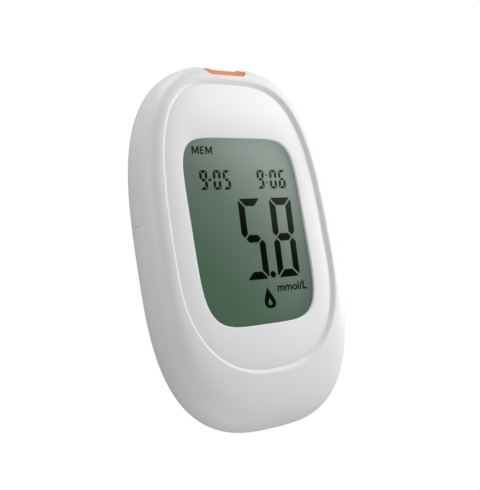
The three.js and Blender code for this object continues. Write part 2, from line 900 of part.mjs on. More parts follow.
// Buzzer: a round can under the board's neck with a sound hole in its lower face.
function buzzer() {
  const can = rod(buzzerDiameter / 2, 0, 0, 0, buzzerHeight);
  const hole = rod(buzzerHoleDiameter / 2, 0, 0, -cutOverrun, buzzerHeight / 2, smallSides);
  return cutBy(solidOf(can), [solidOf(hole)]);
}
addPart(
  "buzzer",
  geometryOf(buzzer()),
  finishes.blackPlastic,
  0,
  bayTop + bayWall + fitGap + buzzerDiameter / 2,
  boardBottom - chipGap - buzzerHeight,
);

// Strip port trim: the coloured mouth that guides a test strip into the slot.
function stripPortTrim() {
  const noseEnd = caseOutline.top - trimSetBack;
  const cover = solidOf(
    loft([
      ringOf(caseOutline, trimSkin, trimBottom),
      ...domeRings(widestZ, caseThickness, trimSkin),
    ]),
  );
  const noseTop = caseThickness - trimUnderDome;
  const nose = solidOf(
    plate(mouthPlan(mouthFloorY + trimGap, noseEnd, trimGap), trimBottom, noseTop),
  ).intersect(cover);
  const flangeTop = deckBottom - trimFlangeDrop;
  const flange = solidOf(
    block(
      -trimFlangeWidth / 2,
      trimFlangeWidth / 2,
      trimFlangeBack,
      trimFlangeFront,
      trimBottom - trimFlangeDrop,
      flangeTop,
    ),
  );
  const bridge = solidOf(
    block(
      -mouthHalfWidth + trimGap,
      mouthHalfWidth - trimGap,
      trimFlangeBack,
      mouthFloorY + trimLedge / 2,
      trimBottom,
      flangeTop,
    ),
  );
  const funnelFloorY = mouthFloorY + trimLedge;
  const funnelEndHalf = funnelHalfWidth + (noseEnd + trimSkin - funnelFloorY) * funnelFlareShare;
  const funnelPlan = polygon([
    [-funnelHalfWidth, funnelFloorY],
    [funnelHalfWidth, funnelFloorY],
    [funnelEndHalf, noseEnd + trimSkin],
    [-funnelEndHalf, noseEnd + trimSkin],
  ]);
  const funnel = solidOf(plate(funnelPlan, slotBottom, caseThickness));
  const slot = solidOf(
    block(
      -slotWidth / 2,
      slotWidth / 2,
      trimFlangeBack - cutOverrun,
      caseOutline.top + cutOverrun,
      slotBottom,
      slotTop,
    ),
  );
  return cutBy(joined([nose, flange, bridge]), [funnel, slot]);
}
addPart("strip_port_trim", geometryOf(stripPortTrim()), finishes.orange);

// Strip connector: a housing on the board's neck with a slot for the strip and a channel for its contacts.
function stripConnector() {
  const housing = block(
    -connectorWidth / 2,
    connectorWidth / 2,
    connectorBack,
    connectorFront,
    boardTop + filmGap,
    connectorTop,
  );
  const slot = block(
    -slotWidth / 2,
    slotWidth / 2,
    connectorBack + connectorWall,
    connectorFront + cutOverrun,
    slotBottom,
    connectorTop - connectorWall,
  );
  const channel = block(
    -slotWidth / 2,
    slotWidth / 2,
    connectorBack - cutOverrun,
    connectorFront - connectorWall,
    slotTop - contactDip / 2,
    connectorTop - connectorWall,
  );
  return cutBy(solidOf(housing), [slot, channel].map(solidOf));
}
addPart("strip_connector", geometryOf(stripConnector()), finishes.blackPlastic);

// Strip contacts: bent springs that run forward over the slot and dip towards the strip.
function stripContact() {
  const top = connectorTop - connectorWall - filmGap;
  const back = connectorBack - contactTail;
  const tip = connectorFront - connectorWall - fitGap;
  const dipY = connectorFront - connectorLength / 3;
  const under = top - contactThickness;
  const shape = polygon([
    [back, boardTop + filmGap],
    [back + contactThickness, boardTop + filmGap],
    [back + contactThickness, under],
    [dipY - contactDip, under],
    [dipY, under - contactDip],
    [tip, under],
    [tip, top],
    [dipY, top - contactDip],
    [dipY - contactDip, top],
    [back, top],
  ]);
  return barAlongX(shape, -contactWidth / 2, contactWidth / 2);
}
for (let i = 0; i < contactCount; i++) {
  const x = (i - (contactCount - 1) / 2) * contactPitch;
  addPart("strip_contact_" + (i + 1), stripContact(), finishes.gold, x);
}

// Side key: a cap that follows the case's side, a flange that keeps it in, and a nub over the switch.
function sideKey() {
  const left = -caseOutline.halfWidth - cutOverrun;
  const inside = hullSolid(wall, flangeInnerInset, rearTop);
  const cap = hullSolid(0, -keyProud, rearTop).subtract(inside).intersect(solidOf(keyBar(0, left, 0)));
  const flange = hullSolid(wall, flangeInset, rearTop).subtract(inside).intersect(
    solidOf(
      block(
        left,
        0,
        keyBottomY - keyFlangeBorder,
        keyTopY + keyFlangeBorder,
        keyBottomZ - keyFlangeBorder,
        rearTop - filmGap,
      ),
    ),
  );
  const half = keyNubSize / 2;
  const nub = solidOf(
    block(
      -flangeX,
      -nubX,
      keyAboveMiddle - half,
      keyAboveMiddle + half,
      plungerZ - half / 2,
      plungerZ + half,
    ),
  );
  return joined([cap, flange, nub]);
}
addPart("side_key", geometryOf(sideKey()), finishes.whiteShell);

// Key switch: a small push switch on its side under the board's tab, bored for its plunger.
function keySwitch() {
  const half = switchLength / 2;
  const body = block(-switchFaceX, -switchFaceX + switchDepth, -half, half, 0, switchHeight);
  const boreEnd = -switchFaceX + plungerIn + keyTravel + fitGap;
  const bore = new THREE.CylinderGeometry(
    plungerDiameter / 2 + plungerGap,
    plungerDiameter / 2 + plungerGap,
    boreEnd + switchFaceX + cutOverrun,
    smallSides,
  )
    .rotateZ(Math.PI / 2)
    .translate((boreEnd - switchFaceX - cutOverrun) / 2, 0, switchHeight / 2);
  return cutBy(solidOf(body), [solidOf(bore)]);
}
addPart(
  "key_switch",
  geometryOf(keySwitch()),
  finishes.blackPlastic,
  0,
  keyAboveMiddle,
  switchTopZ - switchHeight,
);
const plungerLength = plungerOut + plungerIn;
const plungerGeometry = new THREE.CylinderGeometry(
  plungerDiameter / 2,
  plungerDiameter / 2,
  plungerLength,
  smallSides,
).rotateZ(Math.PI / 2);
addPart(
  "switch_plunger",
  plungerGeometry,
  finishes.blackPlastic,
  -plungerTipX + plungerLength / 2,
  keyAboveMiddle,
  plungerZ,
);

// Battery door: a plate that follows the back, with two hooks, a latch tongue and grip grooves.
function batteryDoor() {
  const hull = hullSolid(doorSetBack, doorSetBack, rearTop);
  const cover = solidOf(plate(doorShape(0), 0, doorTop)).intersect(hull);
  const door = joined([cover, ...[doorLatch(0), ...doorTabs(0, filmGap, doorTop)].map(solidOf)]);
  const grooves = [];
  for (let i = 0; i < gripCount; i++) {
    const y = doorOutline.top - doorTopLedge - i * gripPitch;
    grooves.push(
      solidOf(
        block(-gripLength / 2, gripLength / 2, y, y + gripWidth, -cutOverrun, doorSetBack + gripDepth),
      ),
    );
  }
  return cutBy(door, grooves);
}
addPart("battery_door", geometryOf(batteryDoor()), finishes.whiteShell);

// Battery cells: two, side by side, with their raised ends opposite ways.
function batteryCell() {
  const radius = cellDiameter / 2;
  const nub = cellNubDiameter / 2;
  const profile = [
    [0, 0],
    [radius - cellEdge, 0],
    [radius, cellEdge],
    [radius, cellLength - cellEdge],
    [radius - cellEdge, cellLength],
    [nub, cellLength],
    [nub, cellLength + cellNubLength],
    [0, cellLength + cellNubLength],
  ];
  return new THREE.LatheGeometry(
    profile.map(([r, along]) => new THREE.Vector2(r, along)),
    roundSides + smallSides,
  );
}
const endPlateDepth = filmGap + plateThickness + filmGap;
[-1, 1].forEach((side, i) => {
  const cell = batteryCell();
  if (side > 0) cell.rotateZ(Math.PI);
  const plusEnd = side < 0 ? bayTop - endPlateDepth : bayBottom + endPlateDepth;
  const y = plusEnd + side * (cellLength + cellNubLength);
  addPart("battery_cell_" + (i + 1), cell, finishes.cellJacket, (side * cellSpacing) / 2, y, cellAxisZ);
});

// Contact bridge: one plate across both cells at the lower end of the bay.
const bridgeGeometry = block(
  -(cellSpacing + plateWidth) / 2,
  (cellSpacing + plateWidth) / 2,
  bayBottom + filmGap,
  bayBottom + filmGap + plateThickness,
  cellAxisZ - plateHeight / 2,
  cellAxisZ + plateHeight / 2,
);
addPart("contact_bridge", bridgeGeometry, finishes.steel);

// Contact plates: one for each cell at the upper end of the bay, with a tab up to the board.
function contactPlate() {
  const half = plateWidth / 2;
  const tab = plateTabWidth / 2;
  const low = cellAxisZ - plateHeight / 2;
  const high = cellAxisZ + plateHeight / 2;
  const shape = polygon([
    [-half, low],
    [half, low],
    [half, high],
    [tab, high],
    [tab, boardBottom - chipGap],
    [-tab, boardBottom - chipGap],
    [-tab, high],
    [-half, high],
  ]);
  return plate(shape, 0, plateThickness).rotateX(Math.PI / 2);
}
[-1, 1].forEach((side, i) => {
  const name = "contact_plate_" + (i + 1);
  addPart(name, contactPlate(), finishes.steel, (side * cellSpacing) / 2, bayTop - filmGap);
});

// Contact springs: a tapering coil at the flat end of each cell.
class SpringLine extends THREE.Curve {
  getPoint(t) {
    const radius = THREE.MathUtils.lerp(springBaseDiameter, springTipDiameter, t) / 2;
    const angle = 2 * Math.PI * springTurns * t;
    const along = t * (contactSpace - springWire);
    return new THREE.Vector3(radius * Math.cos(angle), along, radius * Math.sin(angle));
  }
}

function contactSpring() {
  const section = new THREE.Shape();
  section.absarc(0, 0, springWire / 2, 0, 2 * Math.PI);
  return new THREE.ExtrudeGeometry(section, {
    steps: springTurns * springStepsPerTurn,
    curveSegments: cornerSteps,
    bevelEnabled: false,
    extrudePath: new SpringLine(),
  }).translate(0, springWire / 2, 0);
}
[-1, 1].forEach((side, i) => {
  const spring = contactSpring();
  if (side > 0) spring.rotateZ(Math.PI);
  const y = side < 0 ? bayBottom + endPlateDepth : bayTop - endPlateDepth;
  addPart("contact_spring_" + (i + 1), spring, finishes.steel, (side * cellSpacing) / 2, y, cellAxisZ);
});

// A screw with a round head, a straight shank and a cross in its head, its seat at zero and its shank up.
function screw(headRadius, headHeight, shankRadius, shankLength) {
  const profile = [
    [0, -headHeight],
    [headRadius - headHeight / 2, -headHeight],
    [headRadius, -headHeight / 2],
    [headRadius, 0],
    [shankRadius, 0],
    [shankRadius, shankLength - shankRadius],
    [0, shankLength],
  ];
  const body = new THREE.LatheGeometry(
    profile.map(([r, along]) => new THREE.Vector2(r, along)),
    smallSides,
  ).rotateX(Math.PI / 2);
  const reach = Math.min(crossLength, headRadius) / 2;
  const half = crossWidth / 2;
  const low = -headHeight - cutOverrun;
  const high = crossDepth - headHeight;
  const crosses = [
    block(-reach, reach, -half, half, low, high),
    block(-half, half, -reach, reach, low, high),
  ];
  return geometryOf(cutBy(solidOf(body), crosses.map(solidOf)));
}

// Case screws, up through the rear bosses into the front ones.
bossPlaces.forEach(([x, y], i) => {
  const body = screw(screwHeadRadius, screwHeadHeight, screwShankRadius, screwShankLength);
  addPart("case_screw_" + (i + 1), body, finishes.steel, x, y, screwSeatZ - filmGap);
});

// Board screws, down through the board's neck into the posts.
boardScrewPlaces.forEach(([x, y], i) => {
  const body = screw(
    boardScrewHeadRadius,
    boardScrewHeadHeight,
    boardScrewShankRadius,
    boardScrewShankLength,
  );
  body.rotateX(Math.PI);
  addPart("board_screw_" + (i + 1), body, finishes.steel, x, y, boardTop + filmGap);
});

export default meter;
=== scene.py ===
"""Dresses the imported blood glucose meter: fine shells, a working display, real finishes and a soft studio."""

import functools
import logging
import math
from collections.abc import Callable, Iterable, Sequence
from dataclasses import dataclass, field
from enum import Enum

import bmesh
import bpy
from mathutils import Matrix, Vector


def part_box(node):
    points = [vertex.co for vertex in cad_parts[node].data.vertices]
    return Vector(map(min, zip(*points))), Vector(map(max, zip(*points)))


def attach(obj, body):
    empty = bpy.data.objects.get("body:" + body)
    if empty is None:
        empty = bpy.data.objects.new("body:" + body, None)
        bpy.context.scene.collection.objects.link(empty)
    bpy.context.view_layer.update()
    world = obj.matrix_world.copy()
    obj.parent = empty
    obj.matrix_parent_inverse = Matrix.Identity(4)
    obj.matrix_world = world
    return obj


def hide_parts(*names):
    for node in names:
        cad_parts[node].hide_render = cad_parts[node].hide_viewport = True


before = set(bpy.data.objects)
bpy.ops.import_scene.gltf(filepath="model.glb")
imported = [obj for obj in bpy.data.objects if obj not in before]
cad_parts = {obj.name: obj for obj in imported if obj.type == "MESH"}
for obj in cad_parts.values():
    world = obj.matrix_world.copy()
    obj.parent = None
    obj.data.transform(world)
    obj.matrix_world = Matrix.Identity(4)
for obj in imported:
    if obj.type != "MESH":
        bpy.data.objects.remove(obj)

MM = 0.001
TURN = 2 * math.pi
WHITE = (1.0, 1.0, 1.0, 1.0)
OUTLINE_STEPS = 240
DOME_STEPS = 22
HULL_STEPS = 26
ROUND_SIDES = 48
SMALL_SIDES = 24
CORNER_STEPS = 12
# How far a cutter runs past what it cuts, in millimetres.
OVERRUN = 1.0
MERGE_DISTANCE = 0.0002
# The cosine above which an edge counts as running along a direction.
PARALLEL = 0.999
SMOOTH_ANGLE = math.radians(32)

Solid = bmesh.types.BMesh
Socket = bpy.types.NodeSocket
Tree = bpy.types.NodeTree
Flat = tuple[float, float]
Place = tuple[float, float, float]
Profile = tuple[Flat, ...]
# The signs of a row, each with the place of its left side along X.
Row = tuple[tuple[str, float], ...]

log = logging.getLogger("meter")


class Body(Enum):
    """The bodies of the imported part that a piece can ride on."""

    CASE = "case"
    KEY = "side_key"
    DOOR = "battery_door"


class Slot(Enum):
    """Names of material slots, which show is handed but does not use."""

    WHITE_SHELL = "white_shell"
    FACE_PANEL = "face_panel"
    CLEAR_LENS = "clear_lens"
    DISPLAY_GLASS = "display_glass"
    ORANGE_PLASTIC = "orange_plastic"
    FOAM = "foam"
    PLATED_STEEL = "plated_steel"
    CELL_JACKET = "cell_jacket"


class Cut(Enum):
    """How two solids are put together."""

    TAKE_AWAY = "DIFFERENCE"
    JOIN = "UNION"
    KEEP_COMMON = "INTERSECT"


def linear(colour: str) -> tuple[float, float, float, float]:
    """Turns an sRGB hex colour to linear light, with an alpha of one."""
    shares = [int(colour[i : i + 2], 16) / 255 for i in (0, 2, 4)]
    return (*[s / 12.92 if s <= 0.04045 else ((s + 0.055) / 1.055) ** 2.4 for s in shares], 1.0)


def per_metre(size_mm: float) -> float:
    """The texture scale that draws one feature in each stretch of a size in millimetres."""
    return 1 / (size_mm * MM)


def add_node(
    tree: Tree, kind: str, inputs: dict | None = None, output: str = "", **settings: object
) -> Socket | None:
    """Adds one shader node with its settings, values and links.

    Args:
        tree: The node tree.
        kind: Blender's name for the node, after "ShaderNode".
        inputs: A value or a socket to link from, by the input's name or number.
        output: The name of the wanted output, or nothing for the first.
        **settings: The node's own properties.

    Returns:
        The wanted output, or none where the node has no output.
    """
    node = tree.nodes.new("ShaderNode" + kind)
    for name, value in settings.items():
        setattr(node, name, value)
    for key, value in (inputs or {}).items():
        named = [s for s in node.inputs if s.name == key and s.enabled]
        socket = named[0] if named else node.inputs[key]
        if isinstance(value, Socket):
            tree.links.new(value, socket)
        else:
            socket.default_value = value
    return next((s for s in node.outputs if s.enabled and output in ("", s.name)), None)


@dataclass(frozen=True)
class Finish:
    """What all finishes have: a name, a colour and a roughness."""

    name: str
    colour: str
    roughness: float

    def shade(self, tree: Tree, place: Socket) -> dict[str, object]:
        """Adds the nodes of the finish's pattern.

        Args:
            tree: The material's node tree.
            place: The object coordinates.

        Returns:
            The shader's inputs, by name.
        """
        raise NotImplementedError

    def mixed(self, share: Socket, other: str) -> dict[str, object]:
        """The inputs that mix the finish's colour with another one by a share."""
        return {"Factor": share, "A": linear(self.colour), "B": linear(other)}

    def build(self) -> bpy.types.Material:
        """Builds the material.

        Returns:
            The material.
        """
        material = bpy.data.materials.new(self.name)
        material.use_nodes = True
        tree = material.node_tree
        tree.nodes.clear()
        place = add_node(tree, "TexCoord", output="Object")
        surface = add_node(tree, "BsdfPrincipled", self.shade(tree, place))
        add_node(tree, "OutputMaterial", {"Surface": surface})
        return material


@dataclass(frozen=True)
class MouldedPlastic(Finish):
    """Injection-moulded ABS or a like plastic.

    The mould's spark-eroded skin leaves a fine grain, which breaks the gloss into a satin sheen. The melt
    flows unevenly, so the tone drifts a little over some centimetres, and edges are slightly round.
    """

    drift_colour: str
    roughness_drift: float = 0.06
    ior: float = 1.53
    grain_mm: float = 0.35
    grain_height_mm: float = 0.0025
    drift_mm: float = 22.0
    edge_round_mm: float = 0.12

    def shade(self, tree: Tree, place: Socket) -> dict[str, object]:
        """Adds the drift of tone, the grain and the round edges.

        Args:
            tree: The material's node tree.
            place: The object coordinates.

        Returns:
            The shader's inputs, by name.
        """
        wide = {"Vector": place, "Scale": per_metre(self.drift_mm), "Detail": 2.0}
        drift = add_node(tree, "TexNoise", wide)
        fine = {"Vector": place, "Scale": per_metre(self.grain_mm), "Detail": 3.0}
        grain = add_node(tree, "TexNoise", fine)
        gloss = {"Value": grain, "To Min": self.roughness, "To Max": self.roughness + self.roughness_drift}
        edge = add_node(tree, "Bevel", {"Radius": self.edge_round_mm * MM}, samples=6)
        skin = {"Height": grain, "Normal": edge, "Distance": self.grain_height_mm * MM, "Strength": 0.5}
        return {
            "Base Color": add_node(tree, "Mix", self.mixed(drift, self.drift_colour), data_type="RGBA"),
            "Roughness": add_node(tree, "MapRange", gloss),
            "IOR": self.ior,
            "Normal": add_node(tree, "Bump", skin),
        }


@dataclass(frozen=True)
class CoatedSheet(Finish):
    """A thin polycarbonate face sheet, coated on its outer side.

    The hard coat levels out to a soft gloss with a very long, shallow ripple that bends reflections.
    """

    drift_colour: str
    ior: float = 1.58
    coat: float = 0.25
    coat_roughness: float = 0.18
    ripple_mm: float = 3.0
    ripple_height_mm: float = 0.004
    drift_mm: float = 18.0

    def shade(self, tree: Tree, place: Socket) -> dict[str, object]:
        """Adds the drift of tone and the coat's ripple.

        Args:
            tree: The material's node tree.
            place: The object coordinates.

        Returns:
            The shader's inputs, by name.
        """
        wide = {"Vector": place, "Scale": per_metre(self.drift_mm), "Detail": 2.0}
        drift = add_node(tree, "TexNoise", wide)
        shallow = {"Vector": place, "Scale": per_metre(self.ripple_mm), "Detail": 1.0}
        ripple = add_node(tree, "TexNoise", shallow)
        skin = {"Height": ripple, "Distance": self.ripple_height_mm * MM, "Strength": 0.6}
        return {
            "Base Color": add_node(tree, "Mix", self.mixed(drift, self.drift_colour), data_type="RGBA"),
            "Roughness": self.roughness,
            "IOR": self.ior,
            "Coat Weight": self.coat,
            "Coat Roughness": self.coat_roughness,
            "Normal": add_node(tree, "Bump", skin),
        }


@dataclass(frozen=True)
class ClearAcrylic(Finish):
    """Cast acrylic, cut and left with its polished faces.

    It is nearly invisible face on, keeps a faint cool tint, and shows itself by its reflections.
    """

    veil: float = 0.02
    haze_mm: float = 6.0
    ior: float = 1.49

    def shade(self, tree: Tree, place: Socket) -> dict[str, object]:
        """Adds the faint haze of the polish.

        Args:
            tree: The material's node tree.
            place: The object coordinates.

        Returns:
            The shader's inputs, by name.
        """
        haze = add_node(tree, "TexNoise", {"Vector": place, "Scale": per_metre(self.haze_mm), "Detail": 1.0})
        gloss = {"Value": haze, "To Min": self.roughness, "To Max": 2 * self.roughness}
        return {
            "Base Color": linear(self.colour),
            "Roughness": add_node(tree, "MapRange", gloss),
            "IOR": self.ior,
            "Alpha": self.veil,
        }


@dataclass(frozen=True)
class LiquidCrystal(Finish):
    """A reflective twisted-nematic display under its polariser film.

    Its tone runs from a deep lower left corner to a pale upper right one. On the cell, the pale side is partly
    its own tint and partly painted light from the upper right, lightened to offset the window's shade at the
    right and top edges. On the segments it is a painted reflection. The cell also glows of itself, a painted
    glow that fills that shade. The film adds a soft gloss and a hardly visible stretched grain.
    """

    middle: str
    deep: str
    pale_corner_mm: Flat
    deep_corner_mm: Flat
    ior: float = 1.52
    anti_glare: float = 0.16
    # Painted glow: emission in the cell's own tone, which lights the shade the window throws on it.
    painted_glow: float = 1.2
    film_grain_mm: float = 0.5
    film_stretch: float = 8.0
    film_gloss_drift: float = 0.05

    def shade(self, tree: Tree, place: Socket) -> dict[str, object]:
        """Adds the run of tones from corner to corner, which is partly painted light, the painted glow and the
        film's grain.

        Args:
            tree: The material's node tree.
            place: The object coordinates.

        Returns:
            The shader's inputs, by name.
        """
        start = Vector(self.deep_corner_mm).to_3d() * MM
        run = Vector(self.pale_corner_mm).to_3d() * MM - start
        across = add_node(tree, "VectorMath", {0: place, 1: start}, operation="SUBTRACT")
        way = {0: across, 1: run / run.length_squared}
        share = add_node(tree, "VectorMath", way, output="Value", operation="DOT_PRODUCT")
        first = {"Value": share, "From Max": 0.5}
        lower = add_node(tree, "MapRange", first, interpolation_type="SMOOTHSTEP")
        last = {"Value": share, "From Min": 0.4}
        upper = add_node(tree, "MapRange", last, interpolation_type="SMOOTHSTEP")
        low_tones = {"Factor": lower, "A": linear(self.deep), "B": linear(self.middle)}
        deep = add_node(tree, "Mix", low_tones, data_type="RGBA")
        all_tones = {"Factor": upper, "A": deep, "B": linear(self.colour)}
        tone = add_node(tree, "Mix", all_tones, data_type="RGBA")
        stretched = add_node(tree, "Mapping", {"Vector": place, "Scale": (1.0, 1 / self.film_stretch, 1.0)})
        film = add_node(tree, "TexNoise", {"Vector": stretched, "Scale": per_metre(self.film_grain_mm)})
        gloss = {"Value": film, "To Min": self.roughness, "To Max": self.roughness + self.film_gloss_drift}
        return {
            "Base Color": tone,
            "Roughness": add_node(tree, "MapRange", gloss),
            "IOR": self.ior,
            "Specular IOR Level": self.anti_glare,
            "Emission Color": tone,
            "Emission Strength": self.painted_glow,
        }


@dataclass(frozen=True)
class SpongyFill(Finish):
    """Closed-cell foam or silicone rubber.

    Moulding leaves a dull body with small pores and, in a zebra strip, thin layers of two greys.
    """

    drift_colour: str
    pore_mm: float
    pore_depth_mm: float
    layer_mm: float = 0.0
    ior: float = 1.45

    def shade(self, tree: Tree, place: Socket) -> dict[str, object]:
        """Adds the pores and, where there are any, the layers.

        Args:
            tree: The material's node tree.
            place: The object coordinates.

        Returns:
            The shader's inputs, by name.
        """
        cells = {"Vector": place, "Scale": per_metre(self.pore_mm)}
        pores = share = add_node(tree, "TexVoronoi", cells, output="Distance")
        if self.layer_mm:
            layers = {"Vector": place, "Scale": per_metre(self.layer_mm) / TURN, "Distortion": 0.4}
            share = add_node(tree, "TexWave", layers, output="Fac", bands_direction="X")
        skin = {"Height": pores, "Distance": self.pore_depth_mm * MM, "Strength": 0.8}
        return {
            "Base Color": add_node(tree, "Mix", self.mixed(share, self.drift_colour), data_type="RGBA"),
            "Roughness": self.roughness,
            "IOR": self.ior,
            "Normal": add_node(tree, "Bump", skin),
        }


@dataclass(frozen=True)
class PlatedMetal(Finish):
    """Stamped, drawn or turned metal under a thin nickel or gold plating.

    Rolling and drawing leave fine parallel lines under the plating, which stretch each highlight.
    """

    drift_colour: str
    line_mm: float = 0.12
    line_stretch: float = 14.0
    line_depth_mm: float = 0.003
    gloss_drift: float = 0.12
    edge_round_mm: float = 0.08

    def shade(self, tree: Tree, place: Socket) -> dict[str, object]:
        """Adds the drawn lines and the round edges.

        Args:
            tree: The material's node tree.
            place: The object coordinates.

        Returns:
            The shader's inputs, by name.
        """
        stretched = add_node(tree, "Mapping", {"Vector": place, "Scale": (1.0, 1.0, 1 / self.line_stretch)})
        drawn = {"Vector": stretched, "Scale": per_metre(self.line_mm), "Detail": 4.0}
        lines = add_node(tree, "TexNoise", drawn)
        gloss = {"Value": lines, "To Min": self.roughness, "To Max": self.roughness + self.gloss_drift}
        edge = add_node(tree, "Bevel", {"Radius": self.edge_round_mm * MM}, samples=4)
        skin = {"Height": lines, "Normal": edge, "Distance": self.line_depth_mm * MM, "Strength": 0.4}
        return {
            "Base Color": add_node(tree, "Mix", self.mixed(lines, self.drift_colour), data_type="RGBA"),
            "Metallic": 1.0,
            "Roughness": add_node(tree, "MapRange", gloss),
            "Normal": add_node(tree, "Bump", skin),
        }


@dataclass(frozen=True)
class SolderMask(Finish):
    """A glass-epoxy circuit board under green solder mask.

    Copper tracks below the mask stand out as slightly raised, lighter lines between darker open fields.
    """

    track_colour: str
    track_mm: float = 1.6
    track_height_mm: float = 0.02
    ior: float = 1.55

    def shade(self, tree: Tree, place: Socket) -> dict[str, object]:
        """Adds the copper tracks.

        Args:
            tree: The material's node tree.
            place: The object coordinates.

        Returns:
            The shader's inputs, by name.
        """
        fields = {"Vector": place, "Scale": per_metre(self.track_mm)}
        cells = add_node(tree, "TexVoronoi", fields, output="Distance", distance="MANHATTAN")
        tracks = add_node(tree, "MapRange", {"Value": cells, "From Min": 0.45, "From Max": 0.55})
        skin = {"Height": tracks, "Distance": self.track_height_mm * MM, "Strength": 0.5}
        return {
            "Base Color": add_node(tree, "Mix", self.mixed(tracks, self.track_colour), data_type="RGBA"),
            "Roughness": self.roughness,
            "IOR": self.ior,
            "Normal": add_node(tree, "Bump", skin),
        }


@functools.cache
def material_of(finish: Finish) -> bpy.types.Material:
    """The material of a finish, built once."""
    return finish.build()


WHITE_ABS = MouldedPlastic("white_abs_satin", "efeff0", 0.42, "ebebec")
KEY_ABS = MouldedPlastic("white_abs_key", "edeeef", 0.38, "e9e9eb")
ORANGE_ABS = MouldedPlastic("orange_abs_satin", "ee8722", 0.4, "e6801e", grain_mm=0.3)
BLACK_NYLON = MouldedPlastic(
    "black_glass_filled_nylon", "1b1c1e", 0.55, "26282a", grain_mm=0.25, grain_height_mm=0.006
)
CHIP_EPOXY = MouldedPlastic(
    "black_moulded_epoxy", "17181a", 0.62, "212225", grain_mm=0.15, grain_height_mm=0.004
)
CELL_FILM = MouldedPlastic(
    "printed_cell_jacket", "33424f", 0.3, "2f3d49", grain_height_mm=0.001, edge_round_mm=0.05
)
FACE_SHEET = CoatedSheet("white_coated_face_sheet", "f2f2f3", 0.42, "efeff1")
LENS_ACRYLIC = ClearAcrylic("clear_cast_acrylic", "1c211f", 0.04)
# Paler towards the upper right, partly as painted light from there and to offset the window's shade; it also
# glows as painted light.
DISPLAY_CELL = LiquidCrystal(
    "grey_green_liquid_crystal", "626d67", 0.36, "424f47", "324637", (20.0, 20.0), (-13.0, -13.0)
)
# The segments' grey at the upper right corner is a painted reflection of the light. Elsewhere they are near
# black.
DISPLAY_INK = LiquidCrystal(
    "dark_liquid_crystal_segment", "363833", 0.36, "030804", "010301", (18.0, 16.0), (-6.0, -14.0),
    anti_glare=0.01, painted_glow=0.0,
)
GASKET_FOAM = SpongyFill("grey_closed_cell_foam", "b9bfba", 0.95, "a9afaa", pore_mm=0.25, pore_depth_mm=0.05)
# The real layers are 0.05 mm thick, and are drawn coarser so that they show.
ZEBRA_RUBBER = SpongyFill(
    "layered_zebra_rubber", "3a3b3d", 0.7, "6f7072", pore_mm=0.6, pore_depth_mm=0.01, layer_mm=0.4
)
NICKEL_STEEL = PlatedMetal("nickel_plated_steel", "c3c5c8", 0.24, "a9abae")
GOLD_PLATE = PlatedMetal("gold_plated_bronze", "dcb25c", 0.22, "c79a45")
SILVERED_FILM = PlatedMetal("silvered_reflector_film", "d4d7d6", 0.4, "c9cccb")
BOARD_MASK = SolderMask("green_solder_mask", "0f4a2a", 0.38, "1f7044")


@dataclass(frozen=True)
class Outline:
    """Two half superellipses that meet at the widest place, seen from above."""

    half_width: float
    top: float
    bottom: float
    widest_y: float
    top_power: float
    bottom_power: float

    def point(self, angle: float, inset: float = 0.0) -> Vector:
        """A point of the outline.

        Args:
            angle: The angle round the outline, in radians.
            inset: How far the outline is drawn in.

        Returns:
            The point in X and Y.
        """
        upper = math.sin(angle) >= 0
        power = 2 / (self.top_power if upper else self.bottom_power)
        reach = self.top - self.widest_y if upper else self.widest_y - self.bottom
        across = math.copysign(abs(math.cos(angle)) ** power, math.cos(angle))
        along = math.copysign(abs(math.sin(angle)) ** power, math.sin(angle))
        return Vector(((self.half_width - inset) * across, self.widest_y + (reach - inset) * along))

    def half_width_at(self, inset: float, y: float) -> float:
        """The half width at a place along the outline.

        Args:
            inset: How far the outline is drawn in.
            y: The place along Y.

        Returns:
            The half width.
        """
        upper = y >= self.widest_y
        power = self.top_power if upper else self.bottom_power
        reach = (self.top - self.widest_y if upper else self.widest_y - self.bottom) - inset
        share = min(1.0, abs(y - self.widest_y) / reach)
        return (self.half_width - inset) * (1 - share**power) ** (1 / power)


@dataclass(frozen=True)
class Station:
    """One ring of a loft: a place between two outlines, drawn in by an inset, at a height."""

    inner: Outline
    outer: Outline
    share: float
    inset: float
    z: float

    def point(self, angle: float) -> Vector:
        """The ring's point at an angle."""
        flat = self.inner.point(angle, self.inset).lerp(self.outer.point(angle, self.inset), self.share)
        return Vector((flat.x, flat.y, self.z))


def put(name: str, data: bpy.types.ID | None) -> bpy.types.Object:
    """A new object of some data, linked to the scene.

    Args:
        name: The object's name.
        data: Its data.

    Returns:
        The object.
    """
    thing = bpy.data.objects.new(name, data)
    bpy.context.scene.collection.objects.link(thing)
    return thing


def mesh_of(bm: Solid, name: str = "scratch") -> bpy.types.Mesh:
    """The mesh data of a solid, which is used up.

    Args:
        bm: The solid.
        name: The mesh's name.

    Returns:
        The mesh.
    """
    mesh = bpy.data.meshes.new(name)
    bm.to_mesh(mesh)
    bm.free()
    return mesh


def face_outwards(bm: Solid) -> Solid:
    """The same solid with every face turned outwards.

    Args:
        bm: The solid.

    Returns:
        The solid.
    """
    bmesh.ops.recalc_face_normals(bm, faces=bm.faces)
    if bm.calc_volume(signed=True) < 0:
        bmesh.ops.reverse_faces(bm, faces=bm.faces)
    return bm


def new_verts(geometry: list) -> list[bmesh.types.BMVert]:
    """The vertices among what an operator made."""
    return [g for g in geometry if isinstance(g, bmesh.types.BMVert)]


